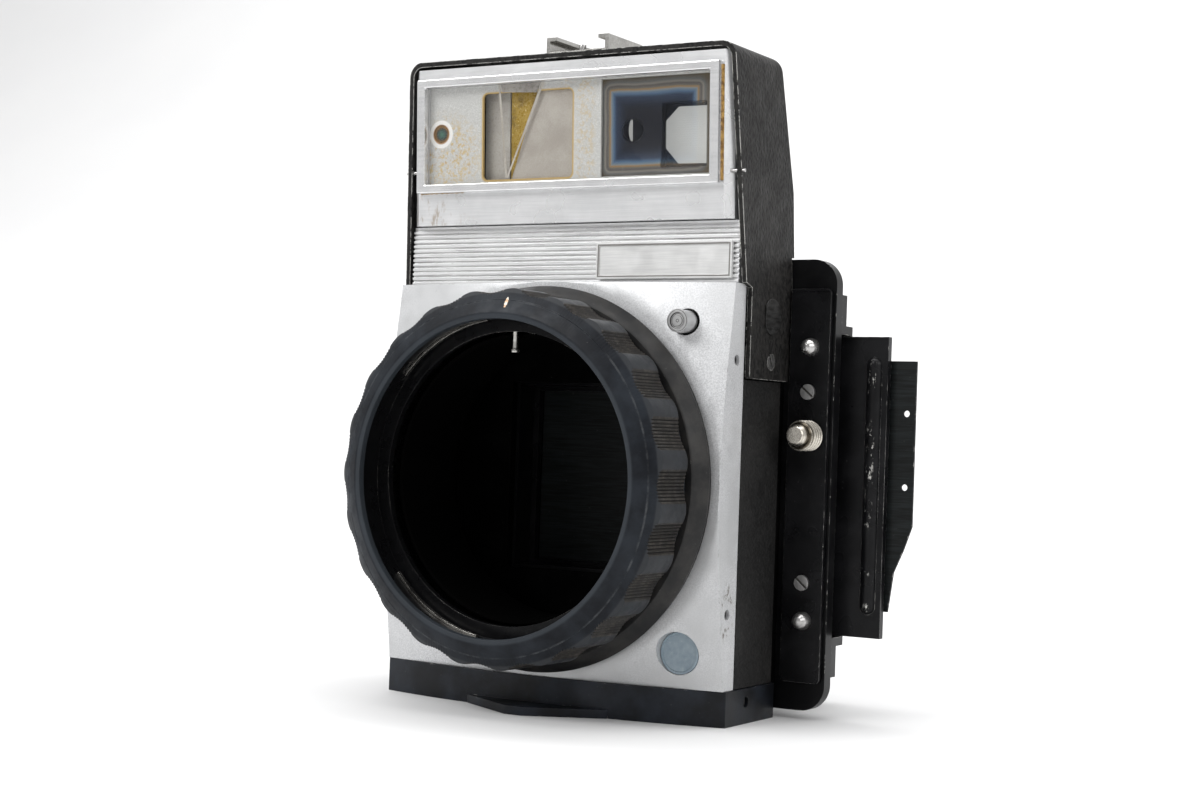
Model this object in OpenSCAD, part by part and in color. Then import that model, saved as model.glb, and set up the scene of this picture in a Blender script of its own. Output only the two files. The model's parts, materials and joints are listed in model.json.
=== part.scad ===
// Medium-format rangefinder press camera body with a roll-film magazine on its back.
// Axes: +X to the right seen from the front, -Y towards the subject, +Z up.
// Origin: mouth of the tripod socket, on the underside of the base.
// The helpers at(), slab() and lathe() take depths counted from the casting's front corners.

/* [Body] */
// Width of the silver front casting
casting_w = 122; // [121:0.25:123]
// Height of the base plate
base_h = 10.7; // [10:0.1:11]
// Height of the casting's top edge above the table
casting_top = 132.3; // [132:0.1:133]
// Height of the hood's top above the table
hood_top = 204.4; // [204:0.1:206]
// Depth of the body from casting corners to the rear frame
body_depth = 35; // [34.8:0.1:35.4]

/* [Lens mount] */
// Height of the lens axis above the table
lens_z = 71.5; // [71:0.1:72]
// Bore radius of the focusing ring's front lip
throat_r = 47.5; // [47:0.1:48]
// Peak radius of the scalloped grip
grip_r = 57; // [56.6:0.1:57.4]
// Number of scallops round the grip
scallops = 23; // [18:1:28]
// Forward travel of the lens sleeve, close focus
focus_travel = 10; // [6:0.5:10]

/* [Back] */
// Width of the rear frame
frame_w = 155.2; // [154:0.1:156]
// Height of the magazine plate
plate_h = 93; // [92:0.1:93]
// Width of the film gate
gate_w = 70; // [56:1:70]
// Height of the film gate
gate_h = 57; // [54:1:57]
// Depth of the magazine cover
cover_depth = 30; // [28:0.5:34]

/* [Finder] */
// Half width of the finder window's opening
window_hw = 52; // [51:0.25:52]
// Forward lean of the finder's face in degrees
face_lean = 2.8; // [2:0.1:3]

/* [Fits] */
// Radial clearance of running fits
run_gap = 0.05; // [0.03:0.01:0.1]
// Wall thickness of sheet covers
sheet_t = 1.6; // [1.2:0.1:1.8]

/* [Hidden] */
$fn = 96;
socket_y = 14;
half_w = casting_w / 2;
eps = 0.02;

// front dome of the casting, turned about the lens axis
dome_flat_r = 60;
dome_edge_r = 87;
dome_rise = 6.6;
dome_corner_y = -0.7;
flange_y = -7.3;
casting_back = 6;
// [depth, height] of the screws in each side of the casting, and of the hood's tab screw
casting_screws = [[1.4, 109.3], [0.4, 33.5]];
tab_screw_y = 21.2;
tab_screw_z = 109.6;
badge_x = 47.6;
badge_z = 21.4;
badge_r = 6.35;
badge_floor_y = dome_corner_y - 1.9;

// lens mount stack, radii from the inside out
baffle_ri = 42.9;
baffle_ro = 43.9;
seat_ri = 44.3;
sleeve_ri = 48.6;
sleeve_ro = 51.4;
barrel_ri = sleeve_ro + run_gap;
barrel_ro = 53.2;
ring_ri = barrel_ro + run_gap;
flange_r = 59.3;
grip_valley = 55.6;
face_y = -38.2;
lip_y = -36;
ring_back = -17;
seat_y = -27.5;
sleeve_front = -35.9;
barrel_flange_y = 2.5;
barrel_screw_r = 55.4;
barrel_screw_angles = [45:90:315];
claw_angles = [0, 120, 240];
claw_span = 42;

// release button
button_x = 47;
button_z = 120.2;
button_r = 3.5;
button_front = -10.9;
button_travel = 3;

// rangefinder follower
rod_x = -1.5;
rod_r = 1.3;
rod_z = lens_z + 46.2;
rod_front = -24.9;
rod_back = 16;
pin_tip_z = 109.6;

// finder block
fascia_y = 2.9;
block_z = 151.5;
block_hw = 55.8;
cheek_hw = 58.3;
face_h = 50.4;
win_lo = 13;
win_hi = 44.4;
frame_t = 2.6;
mirror_x = -47.5;
mirror_y = 15;
mirror_z = 173;
arm_z = 115.7;
arm_h = 4;
eye_x = 31.5;
eye_z = 179.5;
hood_hw = 62.6;
hood_top_hw = 59.6;
hood_r = 5;
tab_z = 104;
pin_hw = 61.9;
pin_y = 0.9;
pin_z = 167.4;
pin_skew = 1.6;
shoe_screw_xs = [-6, 6];
shoe_screw_ys = [10.4, 18.6];

// rear frame and magazine
frame_hw = frame_w / 2;
frame_z0 = 2.7;
frame_z1 = 142.2;
frame_y0 = body_depth;
frame_y1 = frame_y0 + 4.5;
boss_y = 43.8;
plate_y0 = 44;
plate_y1 = 46.5;
plate_x0 = -78;
plate_x1 = 91.5;
plate_z0 = 25.8;
plate_z1 = plate_z0 + plate_h;
plate_mid = (plate_z0 + plate_z1) / 2;
rib_x = 87.1;
rib_z0 = 35.5;
rib_z1 = 110;
rib_r = 2.5;
slide_y0 = 47.3;
slide_y1 = 48.1;
mag_hw = 66;
mag_back = 54;
cover_y1 = mag_back + cover_depth;
spool_x = 50;
spool_y = 67.5;
spool_r = 12;
guide_x = 36.6;
guide_y = 58.6;
hinge_x = -mag_hw - 2.7;
hinge_y = mag_back - 1.6;
hinge_z0 = 33;
hinge_z1 = 111;
dial_x = -26;
dial_y = 66;
bar_travel = 3.5;
bar_slot_r = 1.75;
bar_x0 = -72;
bar_x1 = 77.4;
bar_screw_x = 45;
bar_screw_z = 128.2;
lever_z = 115.2;
stud_r = 4.7625;
stud_x = 70.6;
stud_z = 87.5;

// places a shape at a point, its depth counted from the casting's front corners
module at(x, y, z) translate([x, y - socket_y, z]) children();

// box between two corners
module slab(x0, x1, y0, y1, z0, z1) at(x0, y0, z0) cube([x1 - x0, y1 - y0, z1 - z0]);

// cylinders along +X and along +Y
module along_x(x, y, z, r, len) at(x, y, z) rotate([0, 90, 0]) cylinder(r = r, h = len);
module along_y(x, y, z, r, len) at(x, y, z) rotate([-90, 0, 0]) cylinder(r = r, h = len);
module along_z(x, y, z, r, len) at(x, y, z) cylinder(r = r, h = len);

// body turned about the lens axis from [radius, depth] points
module lathe(points, fn = 180)
    at(0, 0, lens_z) rotate([-90, 0, 0]) rotate_extrude($fn = fn) polygon(points);

// plain ring about the lens axis
module ring(ri, ro, y0, y1) lathe([[ri, y0], [ro, y0], [ro, y1], [ri, y1]]);

// arc of a ring about the lens axis, centred on a polar angle
module ring_arc(ri, ro, y0, y1, mid, span)
    at(0, 0, lens_z) rotate([-90, 0, 0]) rotate([0, 0, -mid - span / 2])
        rotate_extrude(angle = span, $fn = 180) polygon([[ri, y0], [ro, y0], [ro, y1], [ri, y1]]);

// prism along X from [depth, height] points
module prism_x(x0, x1, points)
    translate([x0, -socket_y, 0]) rotate([90, 0, 90]) linear_extrude(x1 - x0) polygon(points);

// flat outline with round corners, drawn in X and Z and extruded along Y
module round_outline(w, h, r) {
    square([w - 2 * r, h], center = true);
    square([w, h - 2 * r], center = true);
    for (sx = [-1, 1], sz = [-1, 1]) translate([sx * (w / 2 - r), sz * (h / 2 - r)]) circle(r);
}
module round_slab(x0, x1, y0, y1, z0, z1, r)
    at((x0 + x1) / 2, y1, (z0 + z1) / 2) rotate([90, 0, 0]) linear_extrude(y1 - y0)
        round_outline(x1 - x0, z1 - z0, r);

// slotted cheese-head screw along +Y, its head towards -Y
module slotted_y(x, y, z, head_r, head_h, shank_r, len, turn = 0)
    at(x, y, z) rotate([-90, 0, 0]) rotate([0, 0, turn]) difference() {
        union() {
            cylinder(r = head_r, h = head_h);
            cylinder(r = shank_r, h = len);
        }
        translate([-head_r, -0.3, -0.1]) cube([2 * head_r, 0.6, 0.7]);
    }

// wire wound round the Y axis, as one swept tube
module coil_y(r, wire_r, pitch, turns, sides = 8, steps = 14) {
    n = turns * steps;
    points = [
        for (i = [0:n]) let (a = 360 * i / steps)
            for (j = [0:sides - 1]) let (b = 360 * j / sides)
                [(r + wire_r * cos(b)) * cos(a), pitch * a / 360 + wire_r * sin(b),
                 (r + wire_r * cos(b)) * sin(a)]
    ];
    walls = [
        for (i = [0:n - 1]) for (j = [0:sides - 1]) let (k = (j + 1) % sides)
            [i * sides + j, i * sides + k, (i + 1) * sides + k, (i + 1) * sides + j]
    ];
    first = [[for (j = [sides - 1:-1:0]) j]];
    last = [[for (j = [0:sides - 1]) n * sides + j]];
    polyhedron(points, concat(walls, first, last), convexity = 10);
}

// ---- base ----

base_arc_r = 228;
base_front = -8.3;
base_back = 33;
base_screw_x = 50;
base_screw_ys = [4, 25];
bushing_r = 5.5;
socket_r = 3.2;
side_hole_r = 1.6;
side_hole_y = 13.7;
side_hole_z = 6.5;
module base_outline(hw, front, back) at(0, 0, 0) intersection() {
    translate([-hw, -12]) square([2 * hw, back + 12]);
    translate([0, base_arc_r + front]) circle(base_arc_r, $fn = 720);
}
toe_h = 2.7;
toe_hw = 25.5;
toe_tip_hw = 3.2;
toe_tip_y = -20.3;
module toe_outline() at(0, 0, 0) polygon([[-toe_hw, -5], [-toe_hw, -7.4], [-toe_tip_hw, toe_tip_y],
    [toe_tip_hw, toe_tip_y], [toe_hw, -7.4], [toe_hw, -5]]);

module base_plate() color("#17181a") difference() {
    union() {
        difference() {
            linear_extrude(base_h) base_outline(half_w + 0.6, base_front, base_back);
            slab(-56, 56, -1, 29, 3.4, base_h + 1);
        }
        linear_extrude(toe_h) toe_outline();
        along_z(0, socket_y, 0, 9, base_h);
        for (sx = [-1, 1], y = base_screw_ys) along_z(sx * base_screw_x, y, 0, 5.4, base_h);
    }
    along_z(0, socket_y, -1, bushing_r, base_h + 2);
    for (sx = [-1, 1], y = base_screw_ys) {
        along_z(sx * base_screw_x, y, -1, 1.6, base_h + 2);
        along_z(sx * base_screw_x, y, -1, 3.1, 3.2);
    }
    for (sx = [-1, 1]) along_x(sx * (half_w - 0.4) - 3, side_hole_y, side_hole_z, side_hole_r, 6);
}

module tripod_bushing() color("#b9a468") difference() {
    along_z(0, socket_y, 0, bushing_r - eps, base_h - 0.1);
    along_z(0, socket_y, -1, socket_r, base_h + 2);
}

// slotted countersunk screws: four through the base, four that hold the barrel from the rear
module case_screws() color("#8a8c90") {
    for (sx = [-1, 1], y = base_screw_ys)
        at(sx * base_screw_x, y, 0.3) case_screw(3, 1.8, 1.55, base_h - 1);
    for (a = barrel_screw_angles)
        at(barrel_screw_r * cos(a), 6.2, lens_z + barrel_screw_r * sin(a)) rotate([90, 0, 0])
            case_screw(1.9, 1.65, 1.05, 6.5);
}
module case_screw(head_r, head_h, shank_r, len) difference() {
    union() {
        cylinder(r = head_r, h = head_h);
        cylinder(r = shank_r, h = len);
    }
    translate([-4, -0.3, -0.1]) cube([8, 0.6, 0.8]);
}

// ---- front casting and body ----

dome_steps = 12;
dome_span = dome_edge_r - dome_flat_r - 1;
function dome_y(r) = dome_corner_y - dome_rise * pow(max(0, (dome_edge_r - r) / dome_span), 1.25);
module dome() lathe(concat(
    [[0, casting_back], [0, flange_y], [dome_flat_r, flange_y]],
    [for (i = [0:dome_steps]) let (r = dome_edge_r - dome_span * (1 - i / dome_steps)) [r, dome_y(r)]],
    [[96, dome_corner_y], [96, casting_back]]), 240);

module front_casting() color("#c9cacb") difference() {
    intersection() {
        dome();
        slab(-half_w, half_w, -20, casting_back, base_h + 0.05, casting_top);
    }
    slab(-half_w + 2.9, half_w - 2.9, barrel_flange_y, casting_back + 1, base_h + 3, casting_top - 3);
    ring(0, barrel_ro + 0.4, -20, 10);
    for (a = barrel_screw_angles)
        along_y(barrel_screw_r * cos(a), -0.6, lens_z + barrel_screw_r * sin(a), 1.1, 5);
    along_y(button_x, -20, button_z, 4.1, 30);
    along_y(badge_x, -20, badge_z, badge_r + 0.15, 20 + badge_floor_y);
    for (sx = [-1, 1], p = casting_screws) along_x(sx * half_w - 4, p[0], p[1], side_hole_r, 8);
}

module body_shell() color("#1b1b1c") difference() {
    slab(-half_w + 0.4, half_w - 0.4, casting_back + 0.05, body_depth, base_h + 0.05, casting_top - 0.1);
    slab(-half_w + 2.6, half_w - 2.6, casting_back - 1, body_depth - 3.2, base_h + 2.4, casting_top - 2.4);
    slab(-gate_w / 2 - 3, gate_w / 2 + 3, 20, body_depth + 1,
         lens_z - gate_h / 2 - 2.5, lens_z + gate_h / 2 + 2.5);
    along_z(mirror_x, mirror_y, casting_top - 6, 1.9, 8);
    for (sx = [-1, 1], y = base_screw_ys) along_z(sx * base_screw_x, y, base_h - 1, 1.6, 5);
    for (sx = [-1, 1]) along_x(sx * half_w - 4, tab_screw_y, tab_screw_z, 1.3, 8);
}

module side_leather() color("#242424") for (sx = [-1, 1])
    slab(sx > 0 ? half_w - 0.4 : -half_w - 0.2, sx > 0 ? half_w + 0.2 : -half_w + 0.4,
         casting_back + 0.3, 31.5, base_h + 0.1, tab_z - 0.3);

module side_screws() color("#2c2c2e") for (sx = [-1, 1]) {
    for (p = casting_screws) along_x(sx * (half_w - 2.2) - 1.2, p[0], p[1], side_hole_r - 0.05, 2.4);
    along_x(sx * (half_w - 1.6) - 1.2, side_hole_y, side_hole_z, side_hole_r - 0.05, 2.4);
}

module badge() color("#8fa3b4") difference() {
    along_y(badge_x, badge_floor_y - 1.2, badge_z, badge_r, 1.2);
    along_y(badge_x, badge_floor_y - 2, badge_z, badge_r - 0.75, 1.1);
}

module ribbed_fascia() color("#bfc1c3") {
    rib_pitch = 1.5;
    fascia_hw = 59.8;
    slab(-fascia_hw, fascia_hw, fascia_y + 0.6, fascia_y + 2.4, casting_top + 0.1, block_z - 0.1);
    for (z = [casting_top + 0.2:rib_pitch:block_z - 1.2]) prism_x(-fascia_hw, fascia_hw,
        [[fascia_y + 0.7, z], [fascia_y, z + 0.25], [fascia_y, z + 0.95], [fascia_y + 0.7, z + 1.2]]);
}

// blank plate with a raised rim
plate_left = 10.8;
plate_right = 58;
module name_plate() color("#d8d9da") difference() {
    round_slab(plate_left, plate_right, fascia_y - 1.3, fascia_y - eps, 133.9, 145.1, 0.5);
    round_slab(plate_left + 1, plate_right - 1, fascia_y - 2, fascia_y - 0.9, 134.9, 144.1, 0.4);
}

// ---- finder ----

// leans the finder's front pieces; local depth 0 is the face, local height 0 its lower edge
module leaned() at(0, -0.4, block_z) rotate([face_lean, 0, 0]) children();
module pane(x0, x1, y0, y1, z0, z1) translate([x0, y0, z0]) cube([x1 - x0, y1 - y0, z1 - z0]);

// face plate of the finder; its flared cheeks run back towards the hood
module finder_face() color("#cfd0d2") difference() {
    intersection() {
        leaned() difference() {
            linear_extrude(face_h) polygon([[-cheek_hw, 6], [-cheek_hw, cheek_hw - block_hw], [-block_hw, 0],
                [block_hw, 0], [cheek_hw, cheek_hw - block_hw], [cheek_hw, 6]]);
            pane(-window_hw, window_hw, -1, 7, win_lo, win_hi);
        }
        at(0, 60, 0) rotate([90, 0, 0]) linear_extrude(80) hood_profile(sheet_t + 0.3);
    }
    for (sx = [-1, 1]) along_x(sx > 0 ? block_hw - 0.3 : -cheek_hw - 1, pin_y, pin_z - sx * pin_skew,
        0.65, cheek_hw - block_hw + 1.3);
}

module window_frame() color("#e2e3e4") leaned() difference() {
    pane(-block_hw + 0.7, block_hw - 0.7, -frame_t, -eps, win_lo - frame_t, win_hi + frame_t);
    pane(-window_hw + 0.1, window_hw - 0.1, -3, 1, win_lo + 0.1, win_hi - 0.1);
}

module window_glass() color("#dfe8ea", 0.35) leaned()
    pane(-window_hw + 0.15, window_hw - 0.15, -0.6, 0.6, win_lo + 0.15, win_hi - 0.15);

module finder_mask() color("#d9d6cc") leaned() difference() {
    pane(-window_hw + 0.05, window_hw - 0.05, 0.7, 1.6, win_lo + 0.05, win_hi - 0.05);
    translate([mirror_x, 0, 29.6]) rotate([-90, 0, 0]) cylinder(r = 2.9, h = 3);
    translate([-14.5, 3, 27.9]) rotate([90, 0, 0]) linear_extrude(3) round_outline(33.4, 27.4, 1.6);
    pane(12.6, 50.4, 0, 3, win_lo + 0.8, win_hi - 0.6);
}

module diffuser_pane() color("#b9b2a6") leaned() translate([0, 2.9, 0]) rotate([90, 0, 0])
    linear_extrude(1.2) polygon([[-21.4, win_lo + 0.1], [2.9, win_lo + 0.1], [2.9, 43], [-11, 43]]);

module amber_pane() color("#a87f26") leaned() difference() {
    pane(-32.5, 3, 4, 5.4, win_lo + 0.1, 43);
    pane(-23, -22.6, 3, 6, win_lo, 44);
}

module viewfinder_lens() color("#5d6d80", 0.5) leaned() intersection() {
    pane(11.8, 51.2, 1.7, 5, win_lo + 0.05, win_hi - 0.05);
    difference() {
        pane(11, 52, 1, 6, win_lo, win_hi);
        translate([31.5, -58.2, 28.7]) sphere(r = 61, $fn = 128);
    }
}

module finder_housing() color("#26272a") difference() {
    prism_x(-57.2, 57.2, [[6.4, block_z + 0.3], [33, block_z + 0.3], [33, 164.4], [27.2, 197], [6.4, 197]]);
    prism_x(-57.2 + sheet_t, 57.2 - sheet_t,
        [[5, block_z + 1.9], [31.4, block_z + 1.9], [31.4, 164.2], [25.8, 195.4], [5, 195.4]]);
    along_y(eye_x, 20, eye_z, 8, 20);
    along_z(mirror_x, mirror_y, block_z - 1, 2, 6);
}

module beam_splitter() color("#9fb4bf", 0.5)
    at(eye_x, 17, 165) rotate([0, 0, 45]) translate([-10.5, -0.6, 0]) cube([21, 1.2, 28]);

module eyepiece_lens() color("#6b7784", 0.5) intersection() {
    along_y(eye_x, 33.1, eye_z, 7.4, 3.4);
    at(eye_x, 9, eye_z) sphere(r = 28, $fn = 128);
}

module eyepiece_ring() color("#111213") difference() {
    union() {
        along_y(eye_x, 31.6, eye_z, 7.95, 6);
        along_y(eye_x, 37.3, eye_z, 10.5, 2.2);
    }
    along_y(eye_x, 30, eye_z, 7.45, 12);
}

module rangefinder_mirror() color("#c4ccd2")
    at(mirror_x, mirror_y, mirror_z) rotate([0, 0, -45]) translate([-7.5, -3.2, 0]) cube([15, 1.4, 17]);

module mirror_arm() color("#a8aaad") {
    along_z(mirror_x, mirror_y, arm_z - 0.7, 1.5, mirror_z - arm_z + 0.7);
    at(mirror_x, mirror_y, mirror_z) rotate([0, 0, -45]) translate([-7.5, -1.75, 0]) cube([15, 1.6, 17]);
    slab(mirror_x, 0, rod_back + 0.1, rod_back + 2.1, arm_z, arm_z + arm_h);
    along_z(mirror_x, mirror_y, arm_z, 3.2, arm_h);
    slab(mirror_x, mirror_x + 2, mirror_y, rod_back + 2.1, arm_z, arm_z + arm_h);
}

module rear_cover() color("#2a2b2d") difference() {
    intersection() {
        prism_x(-60, 60, [[33.2, frame_z1 + 0.4], [36.2, frame_z1 + 0.4], [36.2, 163], [28.7, 200.6],
                          [26.6, 200.6], [33.2, 165]]);
        at(0, 80, 0) rotate([90, 0, 0]) linear_extrude(80) hood_profile(sheet_t + 0.1);
    }
    along_y(eye_x, 20, eye_z, 8, 30);
}

// ---- hood and shoe ----

module hood_profile(t) {
    top = hood_top - t;
    hw = hood_top_hw - t;
    low = hood_hw - t;
    r = hood_r - t;
    polygon([[-low, tab_z - 1], [low, tab_z - 1], [low, casting_top], [hw, top - r], [-hw, top - r],
             [-low, casting_top]]);
    translate([-hw + r, top - r - 1]) square([2 * (hw - r), r + 1]);
    for (sx = [-1, 1]) translate([sx * (hw - r), top - r]) circle(r);
}

module top_hood() color("#202122") difference() {
    intersection() {
        at(0, 60, 0) rotate([90, 0, 0]) linear_extrude(80) difference() {
            hood_profile(0);
            hood_profile(sheet_t);
        }
        prism_x(-70, 70, [
            [casting_back + 0.9, tab_z], [body_depth - 0.4, tab_z], [body_depth - 0.4, frame_z1 + 0.4],
            [36.3, frame_z1 + 0.5], [36.3, 163], [28.4, 203], [27, 206], [-3.4, 206],
            [3.1, casting_top + 0.2], [casting_back + 0.9, casting_top - 1]
        ]);
    }
    for (sx = [-1, 1]) along_x(sx * hood_hw - 4, tab_screw_y, tab_screw_z, 2.5, 8);
    for (x = shoe_screw_xs, y = shoe_screw_ys) along_z(x, y, hood_top - 3, 1.05, 5);
    for (sx = [-1, 1]) along_x(sx * 60 - 4, pin_y, pin_z - sx * pin_skew, 0.65, 8);
}

// slotted side screws, slim bezel pins, the four screws of the shoe and its stop post
module hood_fasteners() color("#9c9ea1") {
    for (sx = [-1, 1]) {
        difference() {
            union() {
                along_x(sx > 0 ? half_w - 0.35 : -hood_hw - 0.1, tab_screw_y, tab_screw_z, 2.4,
                        hood_hw - half_w + 0.45);
                along_x(sx > 0 ? half_w - 3.4 : -half_w + 0.3, tab_screw_y, tab_screw_z, 1.25, 3.1);
            }
            at(sx * (hood_hw + 0.1), tab_screw_y, tab_screw_z) rotate([28, 0, 0])
                cube([1.2, 0.6, 6], center = true);
        }
        along_x(sx > 0 ? block_hw : -pin_hw, pin_y, pin_z - sx * pin_skew, 0.6, pin_hw - block_hw);
    }
    for (x = shoe_screw_xs, y = shoe_screw_ys) at(x, y, hood_top - sheet_t - 0.6) difference() {
        union() {
            cylinder(r = 1, h = sheet_t + 2.3);
            translate([0, 0, sheet_t + 2.32]) cylinder(r = 1.8, h = 0.7);
        }
        translate([-3, -0.2, sheet_t + 2.7]) cube([6, 0.4, 1]);
    }
    along_z(0, 7, hood_top + 1.72, 1.2, 2.2);
}

module hood_insets() color("#3a3b3c") for (sx = [-1, 1]) intersection() {
    along_x(sx > 0 ? hood_hw : -hood_hw - 0.6, 20.6, 123.4, 5.6, 0.6);
    slab(-70, 70, 16, 30, 110, 130);
}

module accessory_shoe() color("#b9bbbd") difference() {
    slab(-11.3, 11.3, 3.6, 25, hood_top + 0.6, hood_top + 6.4);
    slab(-10.1, 10.1, 2, 24, hood_top + 1.7, hood_top + 5.2);
    slab(-7.6, 7.6, 2, 24, hood_top + 1.7, hood_top + 8);
    slab(-10.1, 10.1, 22.8, 27, hood_top + 4.2, hood_top + 5.2);
    for (x = shoe_screw_xs, y = shoe_screw_ys) along_z(x, y, hood_top, 1.05, 3);
}

// ---- lens mount and focusing ----

// conical skirt behind the grip, undercut where it meets the casting
skirt_y = -15.5;
skirt_rim_y = -10.8;
module mount_flange() color("#1d1f22") lathe([
    [barrel_ro + 0.2, skirt_y], [56, skirt_y], [56.6, skirt_y + 0.4], [flange_r, skirt_rim_y],
    [flange_r, skirt_rim_y + 0.8], [flange_r - 0.9, skirt_rim_y + 1.2],
    [flange_r - 0.9, flange_y - eps], [barrel_ro + 0.2, flange_y - eps]
]);

module helicoid_barrel() color("#3b3a36") difference() {
    union() {
        ring(barrel_ri, barrel_ro, -33, 4.5);
        ring(barrel_ri, 57.5, barrel_flange_y + eps, 4.5);
    }
    for (a = barrel_screw_angles)
        along_y(barrel_screw_r * cos(a), 0, lens_z + barrel_screw_r * sin(a), 1.1, 8);
    slab(-3, 3, -33.5, -8, lens_z - barrel_ri - 1.2, lens_z - 40);
}

module light_baffle() color("#101011") difference() {
    union() {
        ring(baffle_ri, baffle_ro, -22, 6);
        ring(baffle_ri, sleeve_ro - 0.2, 4.55, 6);
    }
    slab(rod_x - 2, rod_x + 2, -23, -15.5, lens_z + 40, lens_z + 45);
    along_y(rod_x, 3, rod_z, rod_r + 1.35, 6);
}

key_hw = 2.95;
module guide_key() color("#9c9ea1")
    slab(-key_hw, key_hw, -32.9, -8.1, lens_z - barrel_ri - 1.1, lens_z - sleeve_ro + 1.4);

module follower_guide() color("#b5a05e") difference() {
    union() {
        along_y(rod_x, 4.6, rod_z, rod_r + 1.3, 6.4);
        along_y(rod_x, 6.05, rod_z, rod_r + 2.4, 1.4);
    }
    along_y(rod_x, 3, rod_z, rod_r + run_gap, 12);
}

module follower_rod() color("#d5d7d9") {
    along_y(rod_x, rod_front, rod_z, rod_r, rod_back - rod_front);
    along_z(rod_x, rod_front + 1.4, pin_tip_z, 0.9, rod_z - pin_tip_z);
    along_z(rod_x, rod_front + 1.4, pin_tip_z, 1.3, 1.1);
    along_y(rod_x, -14, rod_z, rod_r + 0.9, 1.2);
}

module follower_spring() color("#c0c2c4") at(rod_x, -12.4, rod_z) coil_y(rod_r + 0.6, 0.22, 2.6, 6);

module lens_sleeve() color("#1a1b1c") difference() {
    union() {
        ring(sleeve_ri, sleeve_ro, sleeve_front, -13.8);
        ring(seat_ri, sleeve_ri + 0.5, seat_y, -25.2);
    }
    slab(-key_hw - 0.1, key_hw + 0.1, -40, -10, lens_z - sleeve_ro - 0.6, lens_z - sleeve_ro + 1.5);
    for (mid = claw_angles)
        ring_arc(sleeve_ri - 1, sleeve_ri + 0.8, seat_y - 3, seat_y - 1.2, mid, claw_span + 4);
}

module bayonet_springs() color("#c8c6c0") for (mid = claw_angles)
    ring_arc(sleeve_ri - 0.7, sleeve_ri + 0.7, seat_y - 2.8, seat_y - 1.4, mid, claw_span);

// scallops: the grip's outline dips to the valley radius between the peaks
function grip_radius(a) = grip_valley + (grip_r - grip_valley) * (0.5 - 0.5 * cos(a * scallops));
grip_step = 2;
module focusing_ring() color("#272c35") difference() {
    union() {
        at(0, lip_y + 1.6, lens_z) rotate([-90, 0, 0]) linear_extrude(ring_back - lip_y - 1.6)
            polygon([for (a = [0:grip_step:359]) grip_radius(a) * [cos(a), sin(a)]]);
        lathe([[throat_r, face_y], [49.7, face_y], [grip_valley - 0.6, lip_y + 1],
               [grip_valley - 0.6, lip_y + 2], [throat_r, lip_y + 2]]);
    }
    ring(0, throat_r, -50, 0);
    ring(0, ring_ri, lip_y, 0);
}

// ---- release button ----

module button_bushing() color("#2b2c2e") difference() {
    along_y(button_x, -4.4, button_z, 4.05, 9.4);
    along_y(button_x, -6, button_z, button_r + 0.05, 4.6);
    along_y(button_x, -6, button_z, 1.6, 16);
}

module release_button() color("#a7a9ac") {
    difference() {
        along_y(button_x, button_front, button_z, button_r, -4.6 - button_front);
        along_y(button_x, button_front - 0.1, button_z, 2.5, 0.5);
    }
    along_y(button_x, button_front + 0.1, button_z, 1.5, 2);
    along_y(button_x, -5, button_z, 1.55, 15.5);
    slab(button_x - 5, button_x + 1.2, 8.9, 10.4, button_z - 9, button_z + 1.2);
}

module button_spring() color("#c0c2c4") at(button_x, 5.3, button_z) coil_y(2.1, 0.25, 0.62, 5);

// ---- rear frame and grip plate ----

module rear_frame() color("#1c1d1f") difference() {
    union() {
        round_slab(-frame_hw, frame_hw, frame_y0 + eps, frame_y1, frame_z0, frame_z1, 8);
        slab(-74, 74, frame_y1 - 0.5, boss_y, plate_z0 + 0.8, plate_z1 - 0.8);
    }
    slab(-gate_w / 2 - 2, gate_w / 2 + 2, frame_y0 - 1, boss_y + 1,
         lens_z - gate_h / 2 - 1.5, lens_z + gate_h / 2 + 1.5);
    for (sx = [-1, 1], sz = [-1, 1])
        along_y(sx * bar_screw_x, frame_y0 + 1, plate_mid + sz * (bar_screw_z - plate_mid), 1.25, 8);
    along_y(stud_x, frame_y0 - 1, stud_z, 3, 3);
}

module grip_plate() color("#222427") difference() {
    round_slab(63.2, 76.6, body_depth - 2, body_depth, 11.5, 133, 1.4);
    along_y(stud_x, body_depth - 3, stud_z, 3, 4);
}

module grip_fasteners() color("#c9cbcd") {
    for (z = [114.8, 30.6]) round_pin(stud_x, body_depth - 2 - eps, z);
    for (z = [101, 42.2]) slotted_y(70, body_depth - 3.1, z, 2.4, 1.05, 2.4, 1.05, 40);
}

// round-nosed locating pin that points towards -Y
module round_pin(x, y, z) at(x, y, z) rotate([90, 0, 0]) rotate_extrude()
    polygon([[0, 0], [2.8, 0], [2.8, 1.2], [2.3, 3.2], [1.3, 4.4], [0, 4.8]]);

module grip_stud() color("#c2bba6") {
    at(stud_x, body_depth - 2 - eps, stud_z) rotate([90, 0, 0]) rotate_extrude()
        polygon([[0, 0], [stud_r, 0], [stud_r, 9.4], [stud_r - 1.3, 10.6], [0, 10.6]]);
    along_y(stud_x, body_depth - 2.5, stud_z, 2.95, 3.5);
}

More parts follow.
